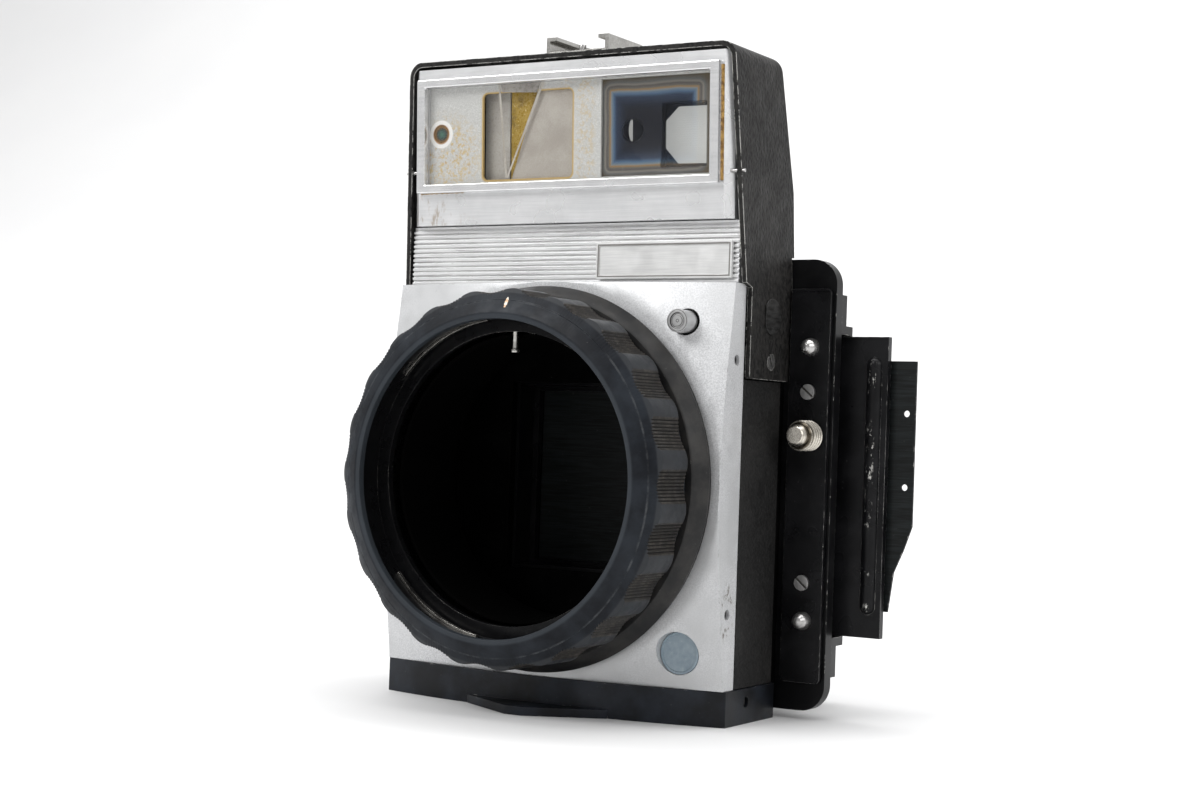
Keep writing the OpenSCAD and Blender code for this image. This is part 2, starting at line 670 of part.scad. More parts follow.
// lock bar whose lip holds the magazine plate; side is +1 for the top bar, -1 for the bottom bar
module lock_bar(side) translate([0, 0, plate_mid]) mirror([0, 0, side > 0 ? 0 : 1])
    translate([0, 0, -plate_mid]) difference() {
        union() {
            slab(bar_x0, bar_x1, frame_y1 + 0.2, 43.4, plate_z1 + 0.4, plate_z1 + 12.7);
            slab(bar_x0, bar_x1, 43.4 - eps, 48.3, plate_z1 + 0.4, plate_z1 + 3.2);
            slab(bar_x0, bar_x1, 46.8, 48.3, plate_z1 - 2.9, plate_z1 + 0.5);
            slab(-14, 14, 43.4 - eps, 47.2, plate_z1 + 8.6, plate_z1 + 12.7);
            for (x = [-12:3:12]) slab(x - 0.7, x + 0.7, 47.2 - eps, 47.8, plate_z1 + 8.6, plate_z1 + 12.7);
        }
        for (sx = [-1, 1]) {
            slab(sx * bar_screw_x - bar_slot_r, sx * bar_screw_x + bar_slot_r, frame_y1, 44,
                 bar_screw_z - bar_travel, bar_screw_z);
            for (z = [bar_screw_z - bar_travel, bar_screw_z])
                along_y(sx * bar_screw_x, frame_y1, z, bar_slot_r, 4);
        }
    }
module lock_bar_top() color("#2b2d30") lock_bar(1);
module lock_bar_bottom() color("#2b2d30") lock_bar(-1);

module lock_bar_screws() color("#97999c") for (sx = [-1, 1], sz = [-1, 1])
    at(sx * bar_screw_x, 0, plate_mid + sz * (bar_screw_z - plate_mid))
        rotate([-90, 0, 0]) difference() {
        union() {
            translate([0, 0, frame_y0 + 2]) cylinder(r = 1.2, h = frame_y1 - frame_y0);
            translate([0, 0, frame_y1]) cylinder(r = 1.6, h = 4.1);
            translate([0, 0, frame_y1 + 4.05]) cylinder(r = 2.3, h = 1.2);
        }
        translate([-4, -0.3, frame_y1 + 4.75]) cube([8, 0.6, 1]);
    }

// ---- roll-film magazine ----

module magazine_plate() color("#1a1b1d") {
    difference() {
        slab(plate_x0, plate_x1, plate_y0, plate_y1, plate_z0, plate_z1);
        slab(-gate_w / 2, gate_w / 2, 40, 50, lens_z - gate_h / 2, lens_z + gate_h / 2);
    }
    for (z = [rib_z0, rib_z1]) at(rib_x, plate_y0 + 0.4, z) sphere(r = rib_r, $fn = 48);
    along_z(rib_x, plate_y0 + 0.4, rib_z0, rib_r, rib_z1 - rib_z0);
}

// the frame carries the dark slide's slot, and two shelves that hold the spools
module magazine_frame() color("#232426") difference() {
    union() {
        slab(-mag_hw, 80, plate_y1 + eps, mag_back, 29.2, 115.2);
        for (z = [32, 108.6]) translate([0, 0, z]) linear_extrude(3.6)
            cover_outline(mag_hw - 3.4, mag_back - 0.5, cover_y1 - 3, 12);
        for (z = [hinge_z0, hinge_z1 - 2.8]) {
            along_z(hinge_x, hinge_y, z, 2.4, 2.8);
            slab(hinge_x, -mag_hw + 0.1, hinge_y - 2, hinge_y + 0.8, z, z + 2.8);
        }
    }
    slab(-gate_w / 2, gate_w / 2, 40, 60, lens_z - gate_h / 2, lens_z + gate_h / 2);
    slab(-46, 81, slide_y0 - 0.3, slide_y1 + 0.3, 33.4, 112);
    for (sx = [-1, 1]) along_z(sx * spool_x, spool_y, 30, 3.05, 85);
    for (sx = [-1, 1]) along_z(sx * guide_x, guide_y, 30, 1.02, 85);
    along_z(dial_x, dial_y, 105, 1.55, 10);
    along_z(hinge_x, hinge_y, 25, 1.02, 100);
}

module dark_slide() color("#3a3936") difference() {
    translate([0, slide_y1 - socket_y, 0]) rotate([90, 0, 0]) linear_extrude(slide_y1 - slide_y0)
        polygon([[-44, 34], [92.4, 34], [94, 46.3], [97, 53.2], [99.6, 60.6], [99.6, 111.5], [-44, 111.5]]);
    for (z = [95.3, 72.6]) along_y(96.7, 40, z, 1, 12);
}

module film_guides() color("#b4b6b9") for (sx = [-1, 1]) {
    along_z(sx * guide_x, guide_y, 35.7, 3, 72.8);
    along_z(sx * guide_x, guide_y, 32.2, 1, 79.4);
}

// core, flanges and lower journal of a spool; the supply spool has an upper journal too
module spool(x, core_r, top_journal) {
    for (z = [40, 101.4]) along_z(x, spool_y, z, spool_r, 1.2);
    along_z(x, spool_y, 40, core_r, 62);
    along_z(x, spool_y, 33, 3, 7.5);
    along_z(x, spool_y, 102, 3, top_journal);
}
module supply_spool() color("#4a4d52") spool(-spool_x, 10, 9);
module takeup_spool() color("#3d3f42") spool(spool_x, 6.5, 0.5);

module counter_dial() color("#e6e4dc") {
    along_z(dial_x, dial_y, 112.3, 9, 0.5);
    along_z(dial_x, dial_y, 108, 1.5, 4.5);
}

module hinge_pin() color("#9b9da0") along_z(hinge_x, hinge_y, hinge_z0 + 0.1, 1, hinge_z1 - hinge_z0 - 0.2);

// cover outline in X and depth, with round rear corners
module cover_outline(hw, y0, y1, r) at(0, 0, 0) {
    translate([-hw, y0]) square([2 * hw, y1 - y0 - r]);
    translate([-hw + r, y0]) square([2 * (hw - r), y1 - y0]);
    for (sx = [-1, 1]) translate([sx * (hw - r), y1 - r]) circle(r);
}

module magazine_cover() color("#202123") difference() {
    union() {
        difference() {
            translate([0, 0, 29.6]) linear_extrude(85.2)
                cover_outline(mag_hw, mag_back + 0.3, cover_y1, 14);
            translate([0, 0, 31.4]) linear_extrude(81.6)
                cover_outline(mag_hw - 1.8, mag_back - 1, cover_y1 - 1.8, 12.2);
        }
        for (z = [38, 96]) {
            along_z(hinge_x, hinge_y, z, 2.3, 10);
            slab(hinge_x - 1, -mag_hw - 0.35, hinge_y + 1.2, mag_back + 3, z, z + 10);
            slab(-mag_hw - 0.4, -mag_hw + 0.2, mag_back + 0.4, mag_back + 3, z, z + 10);
        }
    }
    along_z(hinge_x, hinge_y, 25, 1.05, 100);
    along_z(spool_x, spool_y, 112.9, 4.3, 5);
    slab(spool_x - 4.3, spool_x + 4.9, mag_back - 1, spool_y, 112.9, 118);
    along_z(dial_x, dial_y + 6, 112, 3.6, 5);
}

module counter_window() color("#dfe8ea", 0.35) along_z(dial_x, dial_y + 6, 113.4, 3.55, 1.2);

module pressure_plate() color("#8e9093") {
    slab(-33.2, 33.2, mag_back + 2.2, mag_back + 3.6, 42, 101);
    for (z = [56, 87]) slab(-2.5, 2.5, mag_back + 3.58, cover_y1 - 1.82, z - 2.5, z + 2.5);
}

module wind_lever() color("#b2b4b7") {
    along_z(spool_x, spool_y, 102.8, 3, 14);
    along_z(spool_x, spool_y, lever_z, 7, 3.4);
    slab(spool_x - 36, spool_x, spool_y - 3.5, spool_y + 3.5, lever_z, lever_z + 2.6);
    along_z(spool_x - 36, spool_y, lever_z, 3.5, 2.6);
}

base_plate();
tripod_bushing();
case_screws();
front_casting();
body_shell();
side_leather();
side_screws();
ribbed_fascia();
name_plate();
badge();
finder_face();
window_frame();
window_glass();
finder_mask();
diffuser_pane();
amber_pane();
viewfinder_lens();
eyepiece_lens();
eyepiece_ring();
beam_splitter();
finder_housing();
rangefinder_mirror();
mirror_arm();
rear_cover();
top_hood();
hood_fasteners();
hood_insets();
accessory_shoe();
mount_flange();
helicoid_barrel();
light_baffle();
guide_key();
follower_guide();
follower_rod();
follower_spring();
lens_sleeve();
bayonet_springs();
focusing_ring();
release_button();
button_bushing();
button_spring();
rear_frame();
grip_plate();
grip_fasteners();
grip_stud();
lock_bar_top();
lock_bar_bottom();
lock_bar_screws();
magazine_plate();
magazine_frame();
dark_slide();
film_guides();
supply_spool();
takeup_spool();
wind_lever();
counter_dial();
magazine_cover();
pressure_plate();
counter_window();
hinge_pin();
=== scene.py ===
import json
import math
import random

import bpy
from mathutils import Matrix, Vector


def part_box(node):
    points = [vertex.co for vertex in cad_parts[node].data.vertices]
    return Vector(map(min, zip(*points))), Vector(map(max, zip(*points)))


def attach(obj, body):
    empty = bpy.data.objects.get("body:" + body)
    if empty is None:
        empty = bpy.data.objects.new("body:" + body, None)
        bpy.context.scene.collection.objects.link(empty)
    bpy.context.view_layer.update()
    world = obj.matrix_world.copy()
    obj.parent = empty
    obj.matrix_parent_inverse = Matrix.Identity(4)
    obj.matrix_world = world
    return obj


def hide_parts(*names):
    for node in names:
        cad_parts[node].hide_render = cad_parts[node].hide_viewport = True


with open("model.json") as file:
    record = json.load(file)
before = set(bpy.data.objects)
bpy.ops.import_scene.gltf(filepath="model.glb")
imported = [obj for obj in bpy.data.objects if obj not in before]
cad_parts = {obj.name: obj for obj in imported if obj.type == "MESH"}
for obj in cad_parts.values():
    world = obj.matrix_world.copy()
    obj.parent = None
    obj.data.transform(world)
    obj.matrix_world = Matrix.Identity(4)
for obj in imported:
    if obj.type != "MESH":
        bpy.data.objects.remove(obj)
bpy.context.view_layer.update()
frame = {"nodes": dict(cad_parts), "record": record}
nodes = frame["nodes"]
rng = random.Random(7)
MM = 0.001

# Places that several looks and pieces share, in millimetres in the part's frame; pairs are X and Z.
LENS_AXIS = (0, 71.5)
RIB_START, RIB_PITCH = 132.5, 1.5
COUPLED_WINDOW = (-47.5, 181.0)
FINDER_LENS = (30.8, 180.1, 19.2, 15.4, 4.0)  # middle, half sizes and corner radius

# ---- looks: every material is a small node tree over the part's own positions ----


class Look:
    """One procedural material. Positions are in millimetres in the part's frame."""

    def __init__(self, name, **sockets):
        self.material = bpy.data.materials.new(name)
        self.material.use_nodes = True
        self.tree = self.material.node_tree
        self.tree.nodes.clear()
        self.shader = self.node("BsdfPrincipled")
        out = self.node("OutputMaterial")
        self.tree.links.new(self.shader.outputs[0], out.inputs[0])
        for key, value in sockets.items():
            self.put(self.shader.inputs[key.replace("_", " ")], value)
        self.place = self.vector("MULTIPLY", self.node("TexCoord").outputs["Object"], (1000, 1000, 1000))
        self.axes = self.node("SeparateXYZ")
        self.put(self.axes.inputs[0], self.place)
        self.x, self.y, self.z = self.axes.outputs

    def node(self, kind, **props):
        made = self.tree.nodes.new("ShaderNode" + kind)
        for key, value in props.items():
            setattr(made, key, value)
        return made

    def put(self, socket, value):
        """Links a socket to another one, or sets it to a number or colour."""
        if isinstance(value, bpy.types.NodeSocket):
            self.tree.links.new(value, socket)
        elif socket.type == "RGBA" and len(value) == 3:
            socket.default_value = (*value, 1)
        else:
            socket.default_value = value

    def vector(self, op, a, b=(0, 0, 0)):
        made = self.node("VectorMath", operation=op)
        self.put(made.inputs[0], a)
        self.put(made.inputs[1], b)
        return made.outputs["Value" if op in ("DISTANCE", "DOT_PRODUCT") else "Vector"]

    def math(self, op, a, b=0.0):
        made = self.node("Math", operation=op)
        self.put(made.inputs[0], a)
        self.put(made.inputs[1], b)
        return made.outputs[0]

    def times(self, *values):
        out = values[0]
        for value in values[1:]:
            out = self.math("MULTIPLY", out, value)
        return out

    def most(self, *values):
        """The largest of the values at each point."""
        out = values[0]
        for value in values[1:]:
            out = self.math("MAXIMUM", out, value)
        return out

    def noise(self, size, detail=3.0, rough=0.55, stretch=(1, 1, 1), shift=0.0):
        """Noise whose features are about size millimetres across."""
        made = self.node("TexNoise")
        scaled = self.vector("MULTIPLY", self.place, tuple(s / size for s in stretch))
        self.put(made.inputs["Vector"], self.vector("ADD", scaled, (shift, shift, shift)))
        self.put(made.inputs["Scale"], 1.0)
        self.put(made.inputs["Detail"], detail)
        self.put(made.inputs["Roughness"], rough)
        return made.outputs[0]

    def cells(self, size, stretch=(1, 1, 1)):
        """Soft round cells about size millimetres across."""
        made = self.node("TexVoronoi", feature="SMOOTH_F1")
        self.put(made.inputs["Vector"], self.vector("MULTIPLY", self.place, tuple(s / size for s in stretch)))
        self.put(made.inputs["Scale"], 1.0)
        self.put(made.inputs["Smoothness"], 0.6)
        return made.outputs[0]

    def span(self, value, a, b, c=0.0, d=1.0):
        """Maps a..b to c..d smoothly, clamped."""
        made = self.node("MapRange", interpolation_type="SMOOTHSTEP")
        for socket, number in zip(made.inputs, (value, a, b, c, d)):
            self.put(socket, number)
        return made.outputs[0]

    def ramp(self, value, stops):
        made = self.node("ValToRGB")
        band = made.color_ramp.elements
        while len(band) < len(stops):
            band.new(0.5)
        for element, (at, colour) in zip(band, stops):
            element.position = at
            element.color = (*colour, 1)
        self.put(made.inputs[0], value)
        return made.outputs[0]

    def mix(self, share, a, b):
        """Colour a where share is 0, and b where it is 1."""
        made = self.node("Mix", data_type="RGBA")
        for index, value in zip((0, 6, 7), (share, a, b)):
            self.put(made.inputs[index], value)
        return made.outputs[2]

    def edge(self, radius, low=0.015, high=0.2):
        """1 on outer and inner edges, 0 on flats, over about radius millimetres."""
        bevel = self.node("Bevel", samples=6)
        self.put(bevel.inputs[0], radius * MM)
        flat = self.node("NewGeometry").outputs["Normal"]
        bend = self.math("SUBTRACT", 1.0, self.vector("DOT_PRODUCT", bevel.outputs[0], flat))
        return self.span(bend, low, high)

    def near(self, point, inner, outer):
        """1 within inner millimetres of a point, 0 beyond outer."""
        return self.span(self.vector("DISTANCE", self.place, point), inner, outer, 1.0, 0.0)

    def between(self, value, low, high, soft=0.4):
        """1 between low and high, 0 outside, with borders soft millimetres wide to each side."""
        rise = self.span(value, low - soft, low + soft)
        return self.times(rise, self.span(value, high - soft, high + soft, 1.0, 0.0))

    def box_distance(self, x, z, half_x, half_z, corner):
        """Distance in millimetres to a rounded box outline in X and Z, negative inside."""
        q = [self.math("SUBTRACT", self.math("ABSOLUTE", self.math("SUBTRACT", v, c)), h - corner)
             for v, c, h in ((self.x, x, half_x), (self.z, z, half_z))]
        squares = [self.math("POWER", self.math("MAXIMUM", v, 0.0), 2.0) for v in q]
        reach = self.math("SQRT", self.math("ADD", *squares))
        inner = self.math("MINIMUM", self.math("MAXIMUM", q[0], q[1]), 0.0)
        return self.math("SUBTRACT", self.math("ADD", reach, inner), corner)

    def radius(self, x, z):
        """Distance in millimetres from an axis along Y."""
        dx = self.math("POWER", self.math("SUBTRACT", self.x, x), 2.0)
        dz = self.math("POWER", self.math("SUBTRACT", self.z, z), 2.0)
        return self.math("SQRT", self.math("ADD", dx, dz))

    def bump(self, height, depth, strength=1.0, under=None):
        """Bump of depth millimetres; under is another bump below it."""
        made = self.node("Bump")
        self.put(made.inputs["Strength"], strength)
        self.put(made.inputs["Distance"], depth * MM)
        self.put(made.inputs["Height"], height)
        if under is not None:
            self.put(made.inputs["Normal"], under)
        return made.outputs[0]

    def set(self, **sockets):
        for key, value in sockets.items():
            self.put(self.shader.inputs[key.replace("_", " ")], value)
        return self.material


def enamel(name, dark, pale, rough=(0.32, 0.5), depth=0.02, chips=0.5, blotch=14, edge=0.45, shine=0.22,
           extra=None, lines=None, quiet=False, rubbed=0.0):
    """Painted or anodised metal: cloudy colour, fine grain, bright metal where the edges are chipped.

    chips is how much of the edges has chipped, blotch the size of the clouds, and lines a stretch that
    turns the grain into brushed lines. extra adds chips of its own. quiet keeps the chips away from the
    throat, and rubbed greys the edges outside it.
    """
    bare = (0.62, 0.61, 0.58)
    grain = 0.5
    k = Look(name)
    cloud = k.span(k.noise(blotch, 4, 0.6), 0.35, 0.7)
    paint = k.mix(k.span(k.noise(grain, 3, 0.6, lines), 0.3, 0.7) if lines else cloud, dark, pale)
    chipped = 0.0
    if chips:
        level = 0.62 - 0.25 * chips
        chipped = k.times(k.edge(edge), k.span(k.noise(2.2, 3, 0.7, shift=5), level, level + 0.1))
    if extra is not None:
        chipped = k.most(chipped, extra(k))
    if quiet or rubbed:
        beyond_throat = k.span(k.radius(*LENS_AXIS), 50, 54)
    if quiet:
        chipped = k.times(chipped, beyond_throat)
    if rubbed:
        worn = k.times(k.edge(edge * 0.8, 0.03, 0.3), k.span(k.noise(22, 3, 0.6, shift=17), 0.35, 0.65),
                       rubbed)
        paint = k.mix(k.times(worn, beyond_throat), paint, (0.42, 0.42, 0.41))
    dust = k.times(k.span(k.noise(1.1, 2, 0.5, shift=9), 0.7, 0.78), 0.04)
    grains = k.noise(grain, 3, 0.6, lines or (1, 1, 1))
    colour = k.mix(chipped, k.mix(dust, paint, (0.5, 0.5, 0.48)), bare)
    gloss = k.span(k.noise(blotch, 2, 0.5, shift=3), 0.3, 0.7, *rough)
    under = k.bump(grains, depth)
    return k.set(Base_Color=colour, Metallic=k.times(chipped, 0.95),
                 Roughness=k.mix(chipped, gloss, (0.3,) * 3), Specular_IOR_Level=shine,
                 Normal=k.bump(chipped, -0.05, 0.6, under))


def bare_metal(name, low, high, rough=0.28, along=(0.04, 1, 1), size=0.35, depth=0.003, stain=None,
               turned=None, tarnish=0.25, metal=0.95, shade_and_grime=0.0):
    """Bare metal with fine brushed lines, and tarnish along its edges.

    stain adds a colour of its own, and turned gives the X and Z of turned rings in place of the lines.
    The last argument darkens the hollows that ambient occlusion finds: painted shade, and some dirt.
    """
    k = Look(name, Metallic=metal)
    if turned:
        reach = k.radius(*turned)
        cut_width = 0.16
        cuts = [k.between(reach, at, at + cut_width, 0.07) for at in (0.35, 1.95, 2.35, 3.1)]
        lines = k.math("SUBTRACT", 1.0, k.most(*cuts))
        share = lines
    else:
        lines = k.noise(size, 2, 0.7, along)
        clouded = k.math("ADD", k.times(lines, 0.5), k.times(k.noise(9, 4, 0.6), 0.5))
        share = k.span(clouded, 0.3, 0.7)
    colour = k.mix(share, low, high)
    old = k.times(k.edge(0.25, 0.04, 0.4), k.span(k.noise(3.2, 3, 0.7), 0.4, 0.75), tarnish)
    colour = k.mix(old, colour, (0.16, 0.13, 0.1))
    if stain is not None:
        colour = stain(k, colour)
    # Ambient occlusion darkens the hollows: painted shade, and some dirt too.
    if shade_and_grime:
        hollow = k.node("AmbientOcclusion", samples=6, only_local=True)
        k.put(hollow.inputs["Distance"], 1.2 * MM)
        colour = k.mix(k.span(hollow.outputs["AO"], 0.45, 0.85, shade_and_grime, 0.0), colour, (0.03, 0.025, 0.02))
    height = k.math("ADD", k.times(lines, 0.7), k.times(k.noise(0.5, 2), 0.3))
    gloss = k.span(k.noise(11, 2, 0.5, shift=2), 0.3, 0.75, rough * 0.9, rough * 1.15)
    return k.set(Base_Color=colour, Roughness=gloss, Normal=k.bump(height, depth))


def grained(name, dark, pale, size, depth, rough=(0.42, 0.62), stretch=(1, 1, 1), chips=0.0, dusty=0.1,
            shine=0.25):
    """Leatherette or pebbled enamel, whose edges chip to bare metal if chips is above 0."""
    k = Look(name)
    pebble = k.math("ADD", k.times(k.cells(size, stretch), 0.7),
                    k.times(k.noise(size * 0.55, 3, 0.6, stretch), 0.6))
    worn = k.span(k.noise(26, 3, 0.5, shift=4), 0.45, 0.75)
    colour = k.mix(k.span(pebble, 0.35, 0.85), dark, pale)
    colour = k.mix(k.times(worn, dusty), colour, (0.2, 0.19, 0.18))
    metal = 0.0
    if chips:
        level = 0.64 - 0.22 * chips
        chipped = k.times(k.edge(0.5), k.span(k.noise(5.5, 4, 0.75, shift=6), level, level + 0.06))
        colour = k.mix(chipped, colour, (0.66, 0.65, 0.62))
        metal = k.span(chipped, 0, 1, 0.0, 0.95)
    gloss = k.span(k.noise(7, 3, 0.6), 0.3, 0.7, *rough)
    return k.set(Base_Color=colour, Metallic=metal, Roughness=gloss, Specular_IOR_Level=shine,
                 Normal=k.bump(pebble, depth))


def silver_casting():
    """Satin silver enamel, with a smudge around the lower hole of its side and scratched edges."""
    k = Look("silver_casting")
    side_hole = (61, -13.6, 33.5)
    squeeze = (0.6, 1.5, 0.62)
    speck = k.noise(0.42, 2, 0.7)
    cloud = k.noise(32, 4, 0.55)
    colour = k.mix(k.span(speck, 0.3, 0.7), (0.5, 0.505, 0.515), (0.74, 0.745, 0.755))
    colour = k.mix(k.span(cloud, 0.35, 0.7), colour, (0.54, 0.545, 0.55))
    hole = k.vector("DISTANCE", k.place, side_hole)
    squeezed_hole = tuple(a * b for a, b in zip(side_hole, squeeze))
    narrow = k.vector("DISTANCE", k.vector("MULTIPLY", k.place, squeeze), squeezed_hole)
    ring = k.times(k.span(hole, 3.6, 4.6), k.span(narrow, 4, 7, 1.0, 0.0))
    side = k.span(k.x, 58.5, 59.8)
    smudge = k.times(ring, side, k.span(k.noise(1.5, 4, 0.75, (1, 1, 0.5), shift=3), 0.52, 0.6))
    scratch = k.times(k.edge(0.7), k.span(k.noise(5, 4, 0.8, shift=11), 0.55, 0.62), 0.75)
    top_corner = (-50, -16, 122)
    rub = k.times(k.span(k.noise(1.2, 4, 0.8, (1, 1, 0.2), shift=13), 0.66, 0.7), k.near(top_corner, 2, 22),
                  0.4)
    dirt = k.most(smudge, scratch, rub)
    colour = k.mix(dirt, colour, (0.13, 0.11, 0.09))
    return k.set(Base_Color=colour, Metallic=k.span(dirt, 0, 1, 0.4, 0.2),
                 Roughness=k.span(k.noise(5, 3, 0.6), 0.3, 0.7, 0.36, 0.5), Normal=k.bump(speck, 0.02))


def ribbed():
    """Ribbed strip: bright crests, valleys darkened at the rib pitch as painted shade, fine scratches along
    the ribs.
    """
    k = Look("ribbed_aluminium", Metallic=0.6)
    wave = k.math("COSINE", k.times(k.math("SUBTRACT", k.z, RIB_START), 2 * math.pi / RIB_PITCH))
    # Painted shade in the valleys between the ribs.
    valley_shade = k.span(wave, 0.2, 0.95)
    lines = k.noise(0.5, 2, 0.6, (0.02, 1, 1))
    colour = k.mix(k.span(lines, 0.3, 0.7), (0.72, 0.72, 0.725), (0.84, 0.84, 0.84))
    colour = k.mix(k.times(valley_shade, k.span(k.noise(14, 3), 0.3, 0.7, 0.15, 0.55)), colour, (0.2, 0.195, 0.19))
    spots = k.times(k.span(k.noise(1.1, 2, 0.6, shift=8), 0.74, 0.77), 0.7)
    return k.set(Base_Color=k.mix(spots, colour, (0.14, 0.13, 0.12)),
                 Roughness=k.span(lines, 0.3, 0.7, 0.26, 0.36), Normal=k.bump(lines, 0.002))


def aged_mask():
    """White enamel behind the window, spotted yellow, with brown rims at its openings."""
    k = Look("aged_white")
    spark = k.span(k.noise(0.32, 2, 0.8), 0.35, 0.75)
    colour = k.mix(spark, (0.46, 0.46, 0.44), (0.68, 0.68, 0.66))
    spots = k.span(k.noise(1.3, 4, 0.7, shift=4), 0.47, 0.62)
    left = k.near((-45, -12, 174), 7, 17)
    right = k.times(k.span(k.x, 3, 4.5), k.span(k.x, 8.5, 12, 1.0, 0.0))
    yellow = k.times(spots, k.most(left, k.times(right, 0.6), k.times(k.span(k.noise(9, 3), 0.6, 0.7), 0.4)))
    colour = k.mix(k.times(yellow, 0.8), colour, (0.55, 0.4, 0.16))
    brown = k.times(k.span(k.noise(0.8, 4, 0.7, shift=21), 0.6, 0.68), k.most(left, k.times(right, 0.5)))
    colour = k.mix(k.times(brown, 0.8), colour, (0.4, 0.22, 0.06))
    halo = k.radius(*COUPLED_WINDOW)
    colour = k.mix(k.span(halo, 4.3, 4.7, 1.0, 0.0), colour, (0.8, 0.79, 0.76))
    rim = k.math("ABSOLUTE", k.box_distance(-14.5, 179.3, 16.7, 13.7, 1.6))
    colour = k.mix(k.span(rim, 0.2, 0.9, 0.9, 0.0), colour, (0.5, 0.33, 0.09))
    hole = k.math("ABSOLUTE", k.math("SUBTRACT", halo, 2.9))
    colour = k.mix(k.span(hole, 0.1, 0.5, 0.9, 0.0), colour, (0.35, 0.18, 0.05))
    return k.set(Base_Color=colour, Metallic=0.2, Roughness=k.span(spark, 0, 1, 0.35, 0.55),
                 Normal=k.bump(spark, 0.02))


def coated_lens():
    """Finder lens with coloured bands along its border and a dark navy middle, painted shade, and clear
    over the pieces behind it.
    """
    k = Look("viewfinder_glass", Roughness=0.38, IOR=1.5, Specular_IOR_Level=0.25)
    wobble = k.times(k.noise(14, 2, 0.5), 1.6)
    inside = k.math("SUBTRACT", k.math("MULTIPLY", k.box_distance(*FINDER_LENS), -1.0), wobble)
    # The bands darken to navy in the middle, where the opaque glass stands for the shade inside: painted
    # shade.
    bands = k.ramp(k.span(inside, -1.5, 9.5), [
        (0.0, (0.1, 0.08, 0.05)), (0.1, (0.12, 0.12, 0.12)), (0.16, (0.2, 0.19, 0.16)),
        (0.22, (0.09, 0.08, 0.08)), (0.3, (0.13, 0.12, 0.1)), (0.36, (0.26, 0.16, 0.07)),
        (0.42, (0.16, 0.19, 0.2)), (0.52, (0.07, 0.12, 0.19)), (0.66, (0.02, 0.032, 0.06)),
        (1.0, (0.004, 0.005, 0.01))])
    streak = k.times(k.span(k.noise(1.6, 3, 0.8, (2.5, 1, 0.12)), 0.7, 0.74), k.between(k.x, 19, 30, 2), 0.5)
    k.set(Base_Color=k.mix(streak, bands, (0.5, 0.53, 0.55)))
    # Clear over the glowing screen and crescent behind, which are painted light.
    screen = k.times(k.between(k.x, 33.2, 49.0), k.between(k.z, 167.6, 187.2))
    glint = k.near((22.6, -10, 179.4), 4.5, 5.5)
    return k.set(Alpha=k.span(k.most(screen, glint), 0, 1, 1.0, 0.28))


def clear_glass(name="clear_glass", alpha=0.035):
    """Thin slightly hazy glass."""
    k = Look(name, Metallic=0.85, Alpha=alpha)
    haze = k.noise(18, 4, 0.6)
    return k.set(Base_Color=k.mix(haze, (0.2, 0.21, 0.22), (0.28, 0.285, 0.285)),
                 Roughness=k.span(haze, 0.3, 0.8, 0.05, 0.12),
                 Normal=k.bump(k.noise(30, 2), 0.01))


def frosted(name, low, high, rough=0.5, speck=0.5, dirt=None):
    """Frosted glass, plastic or enamel: a clouded colour with fine specks, and dirt if it is given."""
    k = Look(name)
    grain = k.noise(speck, 3, 0.7)
    clouded = k.math("ADD", k.times(grain, 0.4), k.times(k.noise(12, 3), 0.6))
    colour = k.mix(k.span(clouded, 0.35, 0.65), low, high)
    if dirt is not None:
        colour = dirt(k, colour)
    return k.set(Base_Color=colour, Roughness=k.span(grain, 0.3, 0.7, rough * 0.8, rough * 1.25),
                 Normal=k.bump(grain, 0.03))


def amber():
    """Amber pane with brown stains and pale specks, grey along its left border."""
    left_border = -23

    def dirt(k, colour):
        spots = k.span(k.noise(0.9, 3, 0.7, shift=3), 0.6, 0.68)
        colour = k.mix(k.times(spots, 0.8), colour, (0.72, 0.6, 0.3))
        colour = k.mix(k.times(k.span(k.noise(5, 3, 0.6, shift=7), 0.5, 0.7), 0.5), colour,
                       (0.1, 0.06, 0.015))
        grey = k.mix(k.span(k.noise(9, 3), 0.3, 0.7), (0.34, 0.32, 0.29), (0.42, 0.4, 0.36))
        return k.mix(k.span(k.x, left_border, left_border + 0.2, 1.0, 0.0), colour, grey)

    return frosted("amber_pane", (0.3, 0.19, 0.02), (0.46, 0.31, 0.06), 0.3, 0.7, dirt)


def ring_paint(name, knurled):
    """Focusing ring: cloudy blue-black paint, brown and paler where fingers have rubbed the grip, and a
    painted highlight at the edge of the bore.
    """
    k = Look(name)
    reach = k.radius(*LENS_AXIS)
    cloud = k.span(k.noise(11, 5, 0.62), 0.32, 0.72)
    colour = k.mix(cloud, (0.004, 0.005, 0.0075), (0.015, 0.0185, 0.024))
    if knurled:
        rub = k.span(k.noise(3.0, 4, 0.7, shift=5), 0.45, 0.68)
        brown = k.mix(rub, (0.026, 0.0235, 0.021), (0.062, 0.055, 0.048))
        colour = k.mix(k.span(k.noise(8, 3, 0.6, shift=2), 0.3, 0.6, 0.6, 1.0), colour, brown)
    else:
        grip = k.times(k.span(reach, 55.2, 55.8), 0.6)
        colour = k.mix(grip, colour, (0.04, 0.042, 0.045))
    edge = k.times(k.edge(0.45, 0.02, 0.3), k.span(k.noise(6, 4, 0.7, shift=8), 0.4, 0.7))
    colour = k.mix(k.times(edge, 0.5), colour, (0.1, 0.105, 0.11))
    # A lighter band at the edge of the bore: a painted highlight.
    bore = k.times(k.span(reach, 48.6, 49.4, 1.0, 0.0), 0.5)
    colour = k.mix(bore, colour, (0.045, 0.052, 0.06))
    scratch = k.times(k.span(k.noise(2.5, 4, 0.85, (0.3, 1, 1.6), shift=6), 0.7, 0.73), 0.3)
    colour = k.mix(scratch, colour, (0.2, 0.19, 0.18))
    return k.set(Base_Color=colour, Specular_IOR_Level=0.16,
                 Roughness=k.span(k.noise(4, 4, 0.7), 0.3, 0.7, 0.36, 0.55),
                 Normal=k.bump(k.noise(0.5, 3, 0.6), 0.018))


